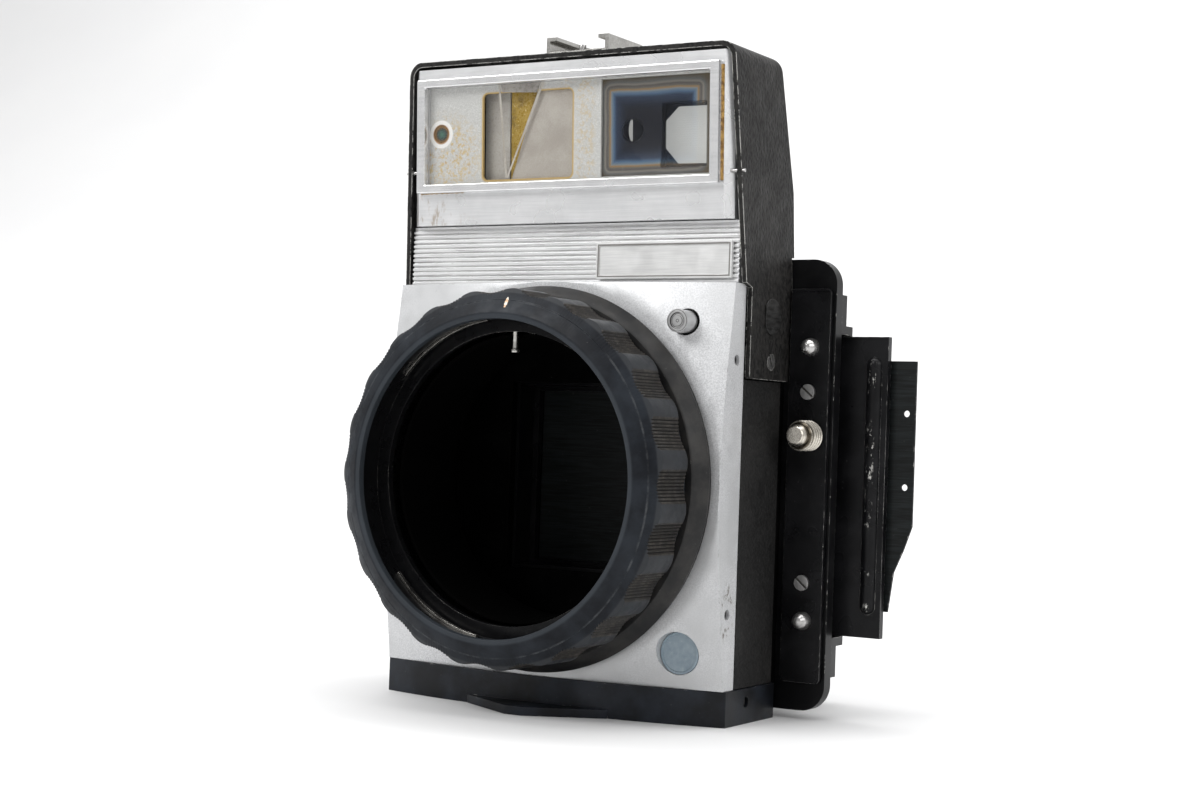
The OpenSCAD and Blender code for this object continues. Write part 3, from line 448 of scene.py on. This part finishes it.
def sleeve_black():
    """Black anodised tube inside the throat, its rims worn bright in arcs."""
    k = Look("black_anodised", Specular_IOR_Level=0.12)
    arcs = k.span(k.noise(17, 2, 0.5, (1, 0, 1), shift=3), 0.5, 0.6)
    bright = k.times(k.edge(0.35, 0.05, 0.35), arcs, k.span(k.noise(1.2, 4, 0.8), 0.35, 0.55), 0.6)
    spots = k.times(k.span(k.noise(0.9, 3, 0.8, shift=9), 0.74, 0.78), 0.35)
    black = k.mix(k.noise(6, 3), (0.002, 0.002, 0.0025), (0.006, 0.006, 0.0065))
    colour = k.mix(k.most(bright, spots), black, (0.75, 0.72, 0.66))
    return k.set(Base_Color=colour, Metallic=k.times(bright, 0.9),
                 Roughness=k.span(k.noise(5, 3), 0.3, 0.7, 0.22, 0.4), Normal=k.bump(k.noise(0.6, 3), 0.008))


def flock():
    """Matt black that returns hardly any light."""
    k = Look("matt_black")
    fuzz = k.noise(0.4, 4, 0.8)
    return k.set(Base_Color=k.mix(fuzz, (0.0006, 0.0006, 0.0006), (0.0022, 0.0022, 0.0022)), Roughness=0.95,
                 Specular_IOR_Level=0.01, Normal=k.bump(fuzz, 0.05))


def middle(node):
    """The middle of a CAD node and half its size, in millimetres."""
    low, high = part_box(node)
    return [(a + b) / 2 / MM for a, b in zip(low, high)], [(b - a) / 2 / MM for a, b in zip(low, high)]


def name_plate_look():
    """Blank plate with a fine dark line inside its border."""
    k = Look("bright_plate", Metallic=0.6)
    centre, half = middle("name_plate")
    border = k.box_distance(centre[0], centre[2], half[0], half[2], 0.4)
    inset = k.math("ABSOLUTE", k.math("ADD", border, 0.75))
    brushed = k.noise(0.5, 2, 0.7, (0.04, 1, 1))
    colour = k.mix(k.span(brushed, 0.3, 0.7), (0.68, 0.68, 0.675), (0.78, 0.78, 0.77))
    colour = k.mix(k.span(inset, 0.16, 0.3, 0.85, 0.0), colour, (0.12, 0.11, 0.1))
    return k.set(Base_Color=colour, Roughness=k.span(k.noise(5, 3), 0.3, 0.7, 0.3, 0.42),
                 Normal=k.bump(brushed, 0.002))


def stud_look():
    """Nickel with bright crests and dark thread roots, and fine turned rings on the nose."""
    k = Look("nickel_stud", Metallic=0.95)
    centre, half = middle("grip_stud")
    reach = k.radius(centre[0], centre[2])
    crest = k.span(reach, half[0] - 0.75, half[0] - 0.15)
    nose = k.span(k.y, centre[1] - half[1] + 1.4, centre[1] - half[1] + 2.0, 1.0, 0.0)
    rings = k.span(k.math("SINE", k.times(reach, 16.0)), -1, 1)
    colour = k.mix(k.most(crest, nose), (0.09, 0.075, 0.055), (0.66, 0.62, 0.55))
    colour = k.mix(k.times(nose, rings, 0.5), colour, (0.25, 0.23, 0.2))
    return k.set(Base_Color=colour, Roughness=k.span(k.noise(1.5, 3), 0.3, 0.7, 0.2, 0.34),
                 Normal=k.bump(rings, 0.004))


BUTTON = middle("button_spring")[0][::2]  # X and Z of the release button


def rib_chips(k):
    """Paint worn off along the crest of the magazine plate's rib."""
    crest = k.times(k.between(k.x, 85.9, 88.2, 0.35), k.span(k.y, 28.2, 28.6, 1.0, 0.0))
    return k.times(crest, k.span(k.noise(1.5, 4, 0.8, (1, 1, 0.45), shift=12), 0.57, 0.6),
                   k.span(k.noise(13, 2, 0.5), 0.44, 0.5))


def stained(k, colour):
    """Brown runs at the left, below the window."""
    run = k.times(k.span(k.noise(2.5, 3, 0.7, (1, 1, 0.4)), 0.5, 0.68), k.span(k.z, 160.5, 162.5, 1.0, 0.0),
                  k.span(k.x, -30, -52))
    return k.mix(k.times(run, 0.6), colour, (0.3, 0.2, 0.1))


looks = {
    "black_base": enamel("black_base", (0.004, 0.0045, 0.006), (0.016, 0.02, 0.028), (0.3, 0.5), chips=0.15,
                         blotch=16),
    "brass": bare_metal("brass", (0.5, 0.36, 0.14), (0.68, 0.52, 0.24), 0.3),
    "steel": bare_metal("steel", (0.36, 0.355, 0.35), (0.56, 0.55, 0.54), 0.28, (1, 0.2, 0.3), 0.8,
                        tarnish=0.3, shade_and_grime=0.95),
    "silver_casting": silver_casting(),
    "black_casting": enamel("black_casting", (0.001,) * 3, (0.0035,) * 3, (0.6, 0.75), chips=0.0,
                            shine=0.03, depth=0.03),
    "leatherette": grained("leatherette", (0.002, 0.002, 0.002), (0.011, 0.0107, 0.0105), 0.8, 0.16,
                           (0.5, 0.68), (1, 1, 0.75), dusty=0.05),
    "black_screw": enamel("black_screw", (0.02, 0.02, 0.02), (0.05, 0.05, 0.052), chips=0.5, edge=0.2),
    "ribbed_aluminium": ribbed(),
    "bright_plate": name_plate_look(),
    "badge_enamel": frosted("badge_enamel", (0.19, 0.25, 0.3), (0.27, 0.34, 0.39), 0.22, 1.5),
    "satin_aluminium": bare_metal("satin_aluminium", (0.7, 0.705, 0.71), (0.82, 0.82, 0.825), 0.3,
                                  (0.03, 1, 1), 0.6, 0.002, stained, tarnish=0.15, metal=0.6),
    "bright_frame": bare_metal("bright_frame", (0.7, 0.7, 0.71), (0.84, 0.84, 0.84), 0.24, (0.03, 1, 1),
                               0.8, 0.002, tarnish=0.25, metal=0.75),
    "clear_glass": clear_glass(),
    "aged_white": aged_mask(),
    "frosted_pane": frosted("frosted_pane", (0.33, 0.3, 0.26), (0.43, 0.4, 0.355), 0.42),
    "amber_pane": amber(),
    "optical_glass": clear_glass("optical_glass", 0.12),
    "black_enamel": enamel("black_enamel", (0.0025, 0.0025, 0.003), (0.008, 0.008, 0.0085), (0.28, 0.38),
                           chips=0.25, shine=0.16, quiet=True, rubbed=0.35),
    "mirror": bare_metal("mirror", (0.85, 0.86, 0.88), (0.92, 0.93, 0.94), 0.05, size=6, depth=0.001,
                         tarnish=0.1),
    "pebbled_black": grained("pebbled_black", (0.003, 0.003, 0.003), (0.018, 0.017, 0.016), 1.1, 0.25,
                             (0.45, 0.6), (1, 1, 0.7), chips=0.9, dusty=0.04, shine=0.2),
    "knurled_black": grained("knurled_black", (0.002, 0.002, 0.002), (0.02, 0.02, 0.02), 1.3, 0.4,
                             (0.4, 0.55), (1, 0.3, 1.2)),
    "chrome": bare_metal("chrome", (0.4, 0.39, 0.37), (0.62, 0.61, 0.58), 0.22, (0.5, 1, 1), 0.9, 0.01,
                         tarnish=0.7, shade_and_grime=0.6),
    "black_anodised": sleeve_black(),
    "greased_alloy": enamel("greased_alloy", (0.006, 0.006, 0.005), (0.02, 0.018, 0.015), (0.3, 0.5),
                            chips=0.15),
    "matt_black": flock(),
    "spring_steel": bare_metal("spring_steel", (0.4, 0.4, 0.41), (0.62, 0.62, 0.62), 0.28),
    "worn_chrome": bare_metal("worn_chrome", (0.1, 0.095, 0.09), (0.6, 0.58, 0.54), 0.25, (0.4, 1, 0.4), 6,
                              0.001, tarnish=0.5),
    "blue_black_ring": ring_paint("blue_black_ring", False),
    "turned_steel": bare_metal("turned_steel", (0.05, 0.05, 0.05), (0.56, 0.56, 0.56), 0.3, turned=BUTTON,
                               depth=0.03, tarnish=0.4, shade_and_grime=0.6),
    "black_plate": enamel("black_plate", (0.0025, 0.0025, 0.003), (0.009, 0.009, 0.01), (0.26, 0.34),
                          chips=0.35, edge=0.35, shine=0.18, quiet=True, rubbed=1.0, extra=rib_chips),
    "nickel_stud": stud_look(),
    "black_steel": enamel("black_steel", (0.004, 0.004, 0.004), (0.012, 0.012, 0.013), (0.3, 0.4),
                          chips=0.4, rubbed=0.3),
    "brushed_black": enamel("brushed_black", (0.0015, 0.002, 0.002), (0.009, 0.012, 0.0125), (0.4, 0.55),
                            chips=0.25, lines=(0.05, 1, 1)),
    "spool_plastic": frosted("spool_plastic", (0.025, 0.026, 0.03), (0.05, 0.052, 0.058), 0.45, 0.8),
    "dial_white": frosted("dial_white", (0.62, 0.61, 0.57), (0.76, 0.75, 0.71), 0.5, 0.8),
}
looks["viewfinder_glass"] = coated_lens()
# Navy for the sheet behind the finder window: painted shade.
looks["finder_dark"] = frosted("finder_dark", (0.02, 0.025, 0.04), (0.03, 0.037, 0.055), 0.5, 3)
looks["fold_edge"] = frosted("fold_edge", (0.36, 0.33, 0.28), (0.5, 0.47, 0.42), 0.4, 0.6)
looks["fold_mirror"] = frosted("fold_mirror", (0.22, 0.2, 0.18), (0.36, 0.34, 0.31), 0.3, 1.2)
looks["ring_knurl"] = ring_paint("ring_knurl", True)
looks["flange_grey"] = enamel("flange_grey", (0.012, 0.012, 0.0125), (0.03, 0.0285, 0.027), (0.34, 0.5),
                              chips=0.12, blotch=9)
# A darker look for the deep half of each grip groove: painted shade.
looks["ring_groove_shade"] = enamel("ring_groove_shade", (0.003, 0.003, 0.003), (0.01, 0.009, 0.008), (0.5, 0.6),
                              chips=0.0)

# ---- CAD nodes: rounded edges and their materials ----


def node_group(name, build):
    group = bpy.data.node_groups.new(name, "GeometryNodeTree")
    for way in ("INPUT", "OUTPUT"):
        group.interface.new_socket("Geometry", in_out=way, socket_type="NodeSocketGeometry")
    start, end = group.nodes.new("NodeGroupInput"), group.nodes.new("NodeGroupOutput")
    group.links.new(build(group, start.outputs[0]), end.inputs[0])
    return group


def merge_points(group, geometry):
    """Joins the CAD mesh's doubled points and drops its stored normals."""
    merge = group.nodes.new("GeometryNodeMergeByDistance")
    merge.inputs["Distance"].default_value = 2e-6
    clear = group.nodes.new("GeometryNodeRemoveAttribute")
    clear.inputs["Name"].default_value = "custom_normal"
    group.links.new(geometry, merge.inputs["Geometry"])
    group.links.new(merge.outputs[0], clear.inputs["Geometry"])
    return clear.outputs[0]


def smooth_below(degrees):
    """Smooth shading across edges flatter than an angle, sharp across the others."""
    def build(group, geometry):
        faces = group.nodes.new("GeometryNodeSetShadeSmooth")
        angle = group.nodes.new("GeometryNodeInputMeshEdgeAngle")
        flat = group.nodes.new("FunctionNodeCompare")
        flat.operation = "LESS_THAN"
        flat.inputs[1].default_value = math.radians(degrees)
        edges = group.nodes.new("GeometryNodeSetShadeSmooth")
        edges.domain = "EDGE"
        group.links.new(geometry, faces.inputs[0])
        group.links.new(faces.outputs[0], edges.inputs[0])
        group.links.new(angle.outputs[0], flat.inputs[0])
        group.links.new(flat.outputs[0], edges.inputs["Shade Smooth"])
        return edges.outputs[0]
    return build


MERGE = node_group("merge_points", merge_points)
SMOOTH = node_group("smooth_below", smooth_below(32))


def soften(obj, width, segments=2, merge=True):
    """Rounds the sharp edges of a piece by width millimetres, inside its own box."""
    if merge:
        obj.modifiers.new("merge", "NODES").node_group = MERGE
    if merge and width:
        flat = obj.modifiers.new("flat", "DECIMATE")
        flat.decimate_type = "DISSOLVE"
        flat.angle_limit = math.radians(0.5)
    if width:
        round_off = obj.modifiers.new("round", "BEVEL")
        round_off.width = width * MM
        round_off.segments = segments
        round_off.limit_method = "ANGLE"
        round_off.angle_limit = math.radians(38)
    obj.modifiers.new("smooth", "NODES").node_group = SMOOTH
    even = obj.modifiers.new("even", "WEIGHTED_NORMAL")
    even.keep_sharp = True
    even.weight = 100


# Millimetres by which a node's sharp edges are rounded, and the width for the nodes not named.
PLAIN_ROUNDING = 0.25
ROUNDING = {
    "finder_face": 0.8, "window_frame": 0.5, "rear_frame": 0.6, "grip_plate": 0.5, "magazine_plate": 0.4,
    "top_hood": 0.3, "base_plate": 0.35, "front_casting": 0.35, "accessory_shoe": 0.3, "magazine_cover": 0.4,
    "eyepiece_ring": 0.5, "wind_lever": 0.6, "mount_flange": 0.3, "release_button": 0.15,
    "name_plate": 0.15, "side_screws": 0.12, "grip_fasteners": 0.12, "case_screws": 0.12,
    "lock_bar_screws": 0.15, "hood_fasteners": 0.12, "hinge_pin": 0.15, "bayonet_springs": 0.15,
    "follower_spring": 0, "button_spring": 0, "ribbed_fascia": 0.12, "viewfinder_lens": 0,
    "eyepiece_lens": 0, "mirror_arm": 0.15}
slot_of = {part["node"]: part["material_slot"] for part in frame["record"]["subparts"]}
OWN_LOOK = {"viewfinder_lens": "viewfinder_glass", "mount_flange": "flange_grey"}
for name, obj in nodes.items():
    obj.data.materials.clear()
    obj.data.materials.append(looks[OWN_LOOK.get(name, slot_of[name])])
    soften(obj, ROUNDING.get(name, PLAIN_ROUNDING))

# ---- pieces with more detail than their CAD solids ----


def piece(name, verts, faces, look, body, smooth=False):
    """A new mesh piece, given in millimetres, with one look or a list of them."""
    mesh = bpy.data.meshes.new(name)
    mesh.from_pydata([Vector(v) * MM for v in verts], [], faces)
    mesh.validate()
    mesh.update()
    obj = bpy.data.objects.new(name, mesh)
    bpy.context.scene.collection.objects.link(obj)
    for entry in [look] if isinstance(look, str) else look:
        mesh.materials.append(looks[entry])
    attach(obj, body)
    if smooth:
        obj.modifiers.new("smooth", "NODES").node_group = SMOOTH
    return obj


def loft(rows, closed_rows=True, close_ends=False):
    """Vertices and quads of a surface through rows of equally many points."""
    count = len(rows[0])
    verts = [p for row in rows for p in row]
    faces = []
    for i in range(len(rows) - (0 if close_ends else 1)):
        a, b = i * count, ((i + 1) % len(rows)) * count
        for j in range(count if closed_rows else count - 1):
            k = (j + 1) % count
            faces.append((a + j, a + k, b + k, b + j))
    return verts, faces


lens_z = LENS_AXIS[1]
ring_low, ring_high = (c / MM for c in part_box("focusing_ring"))
face_y, back_y = ring_low.y, ring_high.y
SCALLOPS, GRIP_PEAK, GRIP_VALLEY, RIDGES = 23, 57.0, 55.6, 15
CONE_START, CONE_SLOPE = 49.7, 0.6  # radius where the ring's front starts to slope back, and its slope


def ring_grip():
    """Focusing ring with scallops, and fine axial ridges in each finger hollow out to the front edge."""
    steps_each = 90
    steps = SCALLOPS * steps_each
    knurl_share, groove_depth = 0.32, 0.5
    bore, skirt, counterbore = 47.5, 54.7, 53.3
    rear = back_y - 0.05
    rows = []
    for i in range(steps):
        turn = 2 * math.pi * i / steps
        phase = (turn * SCALLOPS / (2 * math.pi)) % 1.0
        off_valley = min(phase, 1 - phase)
        reach = GRIP_VALLEY + (GRIP_PEAK - GRIP_VALLEY) * (0.5 - 0.5 * math.cos(2 * math.pi * phase))
        fade = max(0.0, min(1.0, (knurl_share - off_valley) / 0.02))
        groove = groove_depth * fade * (0.5 + 0.5 * math.cos(2 * math.pi * phase * RIDGES))
        cut = reach - groove
        edge_y = face_y + (cut - CONE_START) * CONE_SLOPE
        front_lip = [(bore, face_y + 2.2), (bore, face_y + 0.35), (bore + 0.12, face_y + 0.1),
                     (bore + 0.35, face_y + 0.02), (CONE_START - 0.5, face_y + 0.02),
                     (CONE_START, face_y + 0.14), (cut - 0.55, edge_y - 0.2)]
        grip = [(cut - 0.12, edge_y + 0.12), (cut, edge_y + 0.5), (cut, rear - 2.1)]
        back = [(reach - 0.15 - groove * 0.5, rear - 1.7), (skirt + 0.2, rear - 0.7), (skirt, rear),
                (counterbore, rear), (counterbore, face_y + 2.2)]
        profile = front_lip + grip + back
        rows.append([(r * math.cos(turn), y, lens_z + r * math.sin(turn)) for r, y in profile])
    verts, faces = loft(rows, True, True)
    looks_used = ["blue_black_ring", "ring_knurl", "ring_groove_shade"]
    obj = piece("focusing_ring_grip", verts, faces, looks_used, "focusing_ring", True)
    first_grip, last_grip = len(front_lip), len(front_lip) + len(grip) - 1
    for index, polygon in enumerate(obj.data.polygons):
        row, part = divmod(index, len(profile))
        phase = ((row + 0.5) / steps_each) % 1.0
        if first_grip <= part <= last_grip and min(phase, 1 - phase) < knurl_share:
            # The deep half of each groove takes the darker look: painted shade in the grooves.
            polygon.material_index = 2 if math.cos(2 * math.pi * phase * RIDGES) > 0.4 else 1
    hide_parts("focusing_ring")


def index_mark():
    """Small painted stroke near the top of the ring's front face, white with an orange root."""
    k = Look("index_paint")
    colour = k.mix(k.span(k.noise(1.0, 3), 0.4, 0.6), (0.72, 0.68, 0.6), (0.6, 0.38, 0.22))
    looks["index_paint"] = k.set(Base_Color=colour, Roughness=0.5, Normal=k.bump(k.noise(0.4), 0.03))
    across, along = 5, 12
    start, length, angle = 50.9, 3.2, 86.5
    rows = []
    for i in range(along + 1):
        r = start + length * i / along
        half = 0.55 * math.sin(math.pi * (0.12 + 0.76 * i / along)) + 0.1 * math.sin(i * 2.1)
        row = []
        for j in range(across):
            s = j / (across - 1) * 2 - 1
            lift = 0.02 + 0.14 * (1 - s * s)
            turn = math.radians(angle) + (s * half + 0.25 * (i / along - 0.5)) / r
            y = face_y + (r - CONE_START) * CONE_SLOPE - lift
            row.append((r * math.cos(turn), y, lens_z + r * math.sin(turn)))
        rows.append(row)
    verts, faces = loft(rows, False)
    piece("ring_index_mark", verts, faces, "index_paint", "focusing_ring", True)


def threaded_stud():
    """Grip stud with a real thread and a smooth turned nose."""
    low, high = (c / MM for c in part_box("grip_stud"))
    x, z = (low.x + high.x) / 2, (low.z + high.z) / 2
    major = (high.x - low.x) / 2
    root, pitch, sides = major - 1.0, 1.5875, 48
    seat = high.y - 1.0 - 0.02
    nose = low.y
    thread_end = nose + 2.2
    turns = (seat - thread_end) / pitch
    steps = int(turns * sides)
    verts, faces = [], []
    shape = [(0.0, root), (0.36, major), (0.5, major), (0.86, root)]  # share of a pitch, and radius
    for i in range(steps + 1):
        turn = 2 * math.pi * i / sides
        fade = min(1.0, i / 18, (steps - i) / 40)
        for share, r in shape:
            reach = root + (r - root) * fade
            y = min(seat, seat - pitch * (i / sides) + pitch * (1 - share) * 0.98)
            verts.append((x + reach * math.cos(turn), y, z + reach * math.sin(turn)))
    width = len(shape)
    for i in range(steps):
        for j in range(width - 1):
            a = i * width + j
            faces.append((a, a + 1, a + width + 1, a + width))
    core = [(root - 0.02, seat), (root - 0.02, thread_end + 0.4), (3.45, thread_end - 0.2),
            (2.95, nose + 0.7), (2.75, nose + 0.25), (2.5, nose + 0.05), (1.4, nose), (0.05, nose + 0.04)]
    turns_round = [2 * math.pi * j / sides for j in range(sides)]
    rows = [[(x + r * math.cos(turn), y, z + r * math.sin(turn)) for turn in turns_round] for r, y in core]
    start = len(verts)
    core_verts, core_faces = loft(rows)
    verts += core_verts
    faces += [tuple(start + v for v in face) for face in core_faces]
    faces.append(tuple(start + (len(rows) - 1) * sides + j for j in range(sides)))
    obj = piece("grip_stud_thread", verts, faces, "nickel_stud", "camera", True)
    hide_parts("grip_stud")


# The finder's face leans back about a line along X at its foot.
lean = math.radians(2.8)
foot_y, foot_z = -14.4, 151.5


def on_face(x, y, z):
    """A point given in the leaned frame of the finder's face."""
    return (x, foot_y + y * math.cos(lean) - z * math.sin(lean),
            foot_z + y * math.sin(lean) + z * math.cos(lean))


def ellipse(x, z, half_x, half_z, degrees):
    """Points of an ellipse at the given angles."""
    turns = [math.radians(a) for a in degrees]
    return [(x + half_x * math.cos(a), z + half_z * math.sin(a)) for a in turns]


def plate(name, outline, y0, y1, look, rounding=0.15):
    """A flat piece in the leaned frame, from a counter-clockwise outline in X and local height."""
    count = len(outline)
    verts = [on_face(px, y, pz) for y in (y0, y1) for px, pz in outline]
    faces = [tuple(range(count)), tuple(range(2 * count - 1, count - 1, -1))]
    faces += [(j, j + count, (j + 1) % count + count, (j + 1) % count) for j in range(count)]
    obj = piece(name, verts, faces, look, "camera")
    obj.data.flip_normals()
    soften(obj, rounding, merge=False)
    return obj


def finder_inside():
    """What shows through the finder's windows, and the small round glass of the coupled window. The pale
    screen and the crescent give off light of their own, painted light, and the navy sheet is painted shade.
    """
    pale = Look("finder_screen")
    grid = pale.math("ADD", *(pale.math("SINE", pale.times(v, 9.0)) for v in (pale.x, pale.z)))
    # The screen glows by emission: painted light standing for the bright view behind it.
    looks["finder_screen"] = pale.set(
        Base_Color=pale.mix(pale.span(grid, -1.5, 1.5), (0.66, 0.67, 0.65), (0.74, 0.745, 0.73)),
        Roughness=0.5, Emission_Color=(0.62, 0.63, 0.61), Emission_Strength=1.0, Normal=pale.bump(grid, 0.01))
    screen = [(31.2, 22.7), (35.7, 17.7), (48.8, 17.4), (48.8, 35.0), (35.8, 35.1), (31.2, 30.8)]
    plate("finder_screen", screen, 8.2, 8.9, "finder_screen")
    # A navy sheet behind the windows: painted shade standing for the dark inside of the finder.
    shade_sheet = [(10.5, 11.0), (52.5, 11.0), (52.5, 46.0), (10.5, 46.0)]
    plate("finder_shade_sheet", shade_sheet, 9.4, 9.9, "finder_dark")
    fold = [("fold_left", "fold_edge", [(-25.5, 44.3), (-22.6, 14.6), (-21.9, 14.6), (-24.8, 44.3)]),
            ("fold_right", "fold_edge", [(-9.2, 44.3), (-22.2, 14.6), (-21.6, 14.6), (-8.2, 44.3)]),
            ("fold_top", "fold_mirror", [(-24.6, 44.3), (-23.9, 41.8), (-11.0, 41.1), (-9.4, 44.3)])]
    for name, look, outline in fold:
        plate(name, outline, 0.62, 0.68, look, rounding=0)
    backing = [(-23.6, 13.3), (-22.0, 13.3), (-22.0, 42.8), (-23.6, 42.8)]
    plate("amber_backing", backing, 5.5, 5.7, "amber_pane")
    # A glowing crescent: a painted glint.
    crescent = ellipse(19.6, 28.6, 1.3, 3.6, range(90, 271, 20))
    plate("finder_painted_glint", crescent, 8.0, 8.3, "finder_screen", rounding=0.05)
    glass = Look("coupled_window", Roughness=0.08, Coat_Weight=0.5)
    r = glass.math("ADD", glass.radius(*COUPLED_WINDOW), glass.times(glass.noise(1.5), 0.8))
    rings = glass.ramp(glass.span(r, 0.2, 3.3), [(0.0, (0.06, 0.14, 0.1)), (0.45, (0.045, 0.085, 0.075)),
                                                 (0.75, (0.06, 0.055, 0.045)), (1.0, (0.22, 0.12, 0.04))])
    looks["coupled_window"] = glass.set(Base_Color=rings)
    round_glass = ellipse(COUPLED_WINDOW[0], 29.6, 2.84, 2.84, range(0, 360, 10))
    plate("coupled_window_glass", round_glass, 1.0, 1.55, "coupled_window",
          rounding=0.12)


def old_glue():
    """Brown hardened glue squeezed out beside and under the window frame."""
    k = Look("old_glue", Roughness=0.35)
    looks["old_glue"] = k.set(Base_Color=k.mix(k.span(k.noise(1.2, 4, 0.7), 0.35, 0.65),
                                               (0.16, 0.075, 0.015), (0.5, 0.3, 0.08)),
                              Normal=k.bump(k.noise(0.7, 3), 0.1))
    count = 60
    rows = []
    for i in range(count + 1):
        z = 11.3 + 34.5 * i / count
        bulge = 0.25 + 0.18 * rng.random()
        profile = ((55.05, -0.02), (55.12, -0.5 - bulge), (55.45, -0.35 - bulge), (55.72, -0.03))
        rows.append([on_face(x, y, z) for x, y in profile])
    verts, faces = loft(rows, False)
    piece("frame_glue_side", verts, faces, "old_glue", "camera", True)
    rows = []
    for i in range(count + 1):
        x = -55 + 17 * i / count
        thick = max(0.04, 0.3 * rng.random() * (1 - i / count) + 0.12 * math.sin(i * 0.9))
        profile = ((-0.02, 10.45), (-0.2 - thick, 10.4 - thick * 0.5), (-0.02, 10.3 - thick))
        rows.append([on_face(x, y, z) for y, z in profile])
    verts, faces = loft(rows, False)
    piece("frame_glue_low", verts, faces, "old_glue", "camera", True)


ring_grip()
index_mark()
threaded_stud()
finder_inside()
old_glue()

# ---- floor, light and camera ----


def floor():
    """Paper that lies flat under the camera and sweeps up behind it, in metres."""
    mesh = bpy.data.meshes.new("floor")
    reach, bend_start, bend_radius, height, bend_steps = 9.0, 1.2, 3.5, 7.0, 24
    turns = [math.pi / 2 * s / bend_steps for s in range(1, bend_steps + 1)]
    bend = [(bend_start + bend_radius * math.sin(a), bend_radius - bend_radius * math.cos(a)) for a in turns]
    profile = [(-reach, 0), (bend_start, 0)] + bend + [(bend_start + bend_radius, height)]
    rows = [[(x, y, z) for x in (-reach, reach)] for y, z in profile]
    verts, faces = loft(rows, False)
    mesh.from_pydata(verts, [], faces)
    obj = bpy.data.objects.new("floor", mesh)
    bpy.context.scene.collection.objects.link(obj)
    paper = Look("studio_paper", Roughness=0.75, Specular_IOR_Level=0.2)
    paper.set(Base_Color=paper.mix(paper.noise(400), (0.66, 0.66, 0.665), (0.7, 0.7, 0.7)))
    mesh.materials.append(paper.material)
    for polygon in mesh.polygons:
        polygon.use_smooth = True


def area_light(name, place, aim, size, power):
    """A white rectangular light at a place, turned towards a point, in metres and watts."""
    data = bpy.data.lights.new(name, "AREA")
    data.shape = "RECTANGLE"
    data.size, data.size_y = size
    data.energy = power
    obj = bpy.data.objects.new(name, data)
    bpy.context.scene.collection.objects.link(obj)
    obj.location = place
    obj.rotation_mode = "QUATERNION"
    obj.rotation_quaternion = (Vector(aim) - Vector(place)).to_track_quat("-Z", "Y")


def lights():
    world = bpy.data.worlds.new("studio")
    bpy.context.scene.world = world
    world.use_nodes = True
    background = world.node_tree.nodes["Background"]
    background.inputs["Color"].default_value = (1, 1, 1, 1)
    background.inputs["Strength"].default_value = 0.5
    centre = (0, 0, 0.1)
    area_light("key", (-0.9, -1.5, 1.5), centre, (1.3, 1.0), 30)
    area_light("side", (1.6, -0.3, 0.9), centre, (1.2, 1.0), 9)
    area_light("top", (0.1, 0.1, 1.9), centre, (1.6, 1.6), 22)
    area_light("back", (-1.2, 1.0, 3.4), (-1.6, 4, 0.8), (6.0, 2.5), 220)


def camera():
    eye = Vector((0.3380, -0.5588, 0.0864))
    aim = Vector((0.01495, -0.014, 0.09633))
    roll = math.radians(1.98)
    data = bpy.data.cameras.new("camera")
    data.sensor_width = 36
    data.lens = 61.65
    data.clip_start = 0.01
    obj = bpy.data.objects.new("camera", data)
    bpy.context.scene.collection.objects.link(obj)
    ahead = (aim - eye).normalized()
    right = ahead.cross(Vector((0, 0, 1))).normalized()
    up = right.cross(ahead)
    rolled_right = math.cos(roll) * right + math.sin(roll) * up
    rolled_up = math.cos(roll) * up - math.sin(roll) * right
    turn = Matrix((rolled_right, rolled_up, -ahead)).transposed()
    obj.matrix_world = Matrix.Translation(eye) @ turn.to_4x4()
    bpy.context.scene.camera = obj


floor()
lights()
camera()
bpy.context.scene.view_settings.view_transform = "Standard"
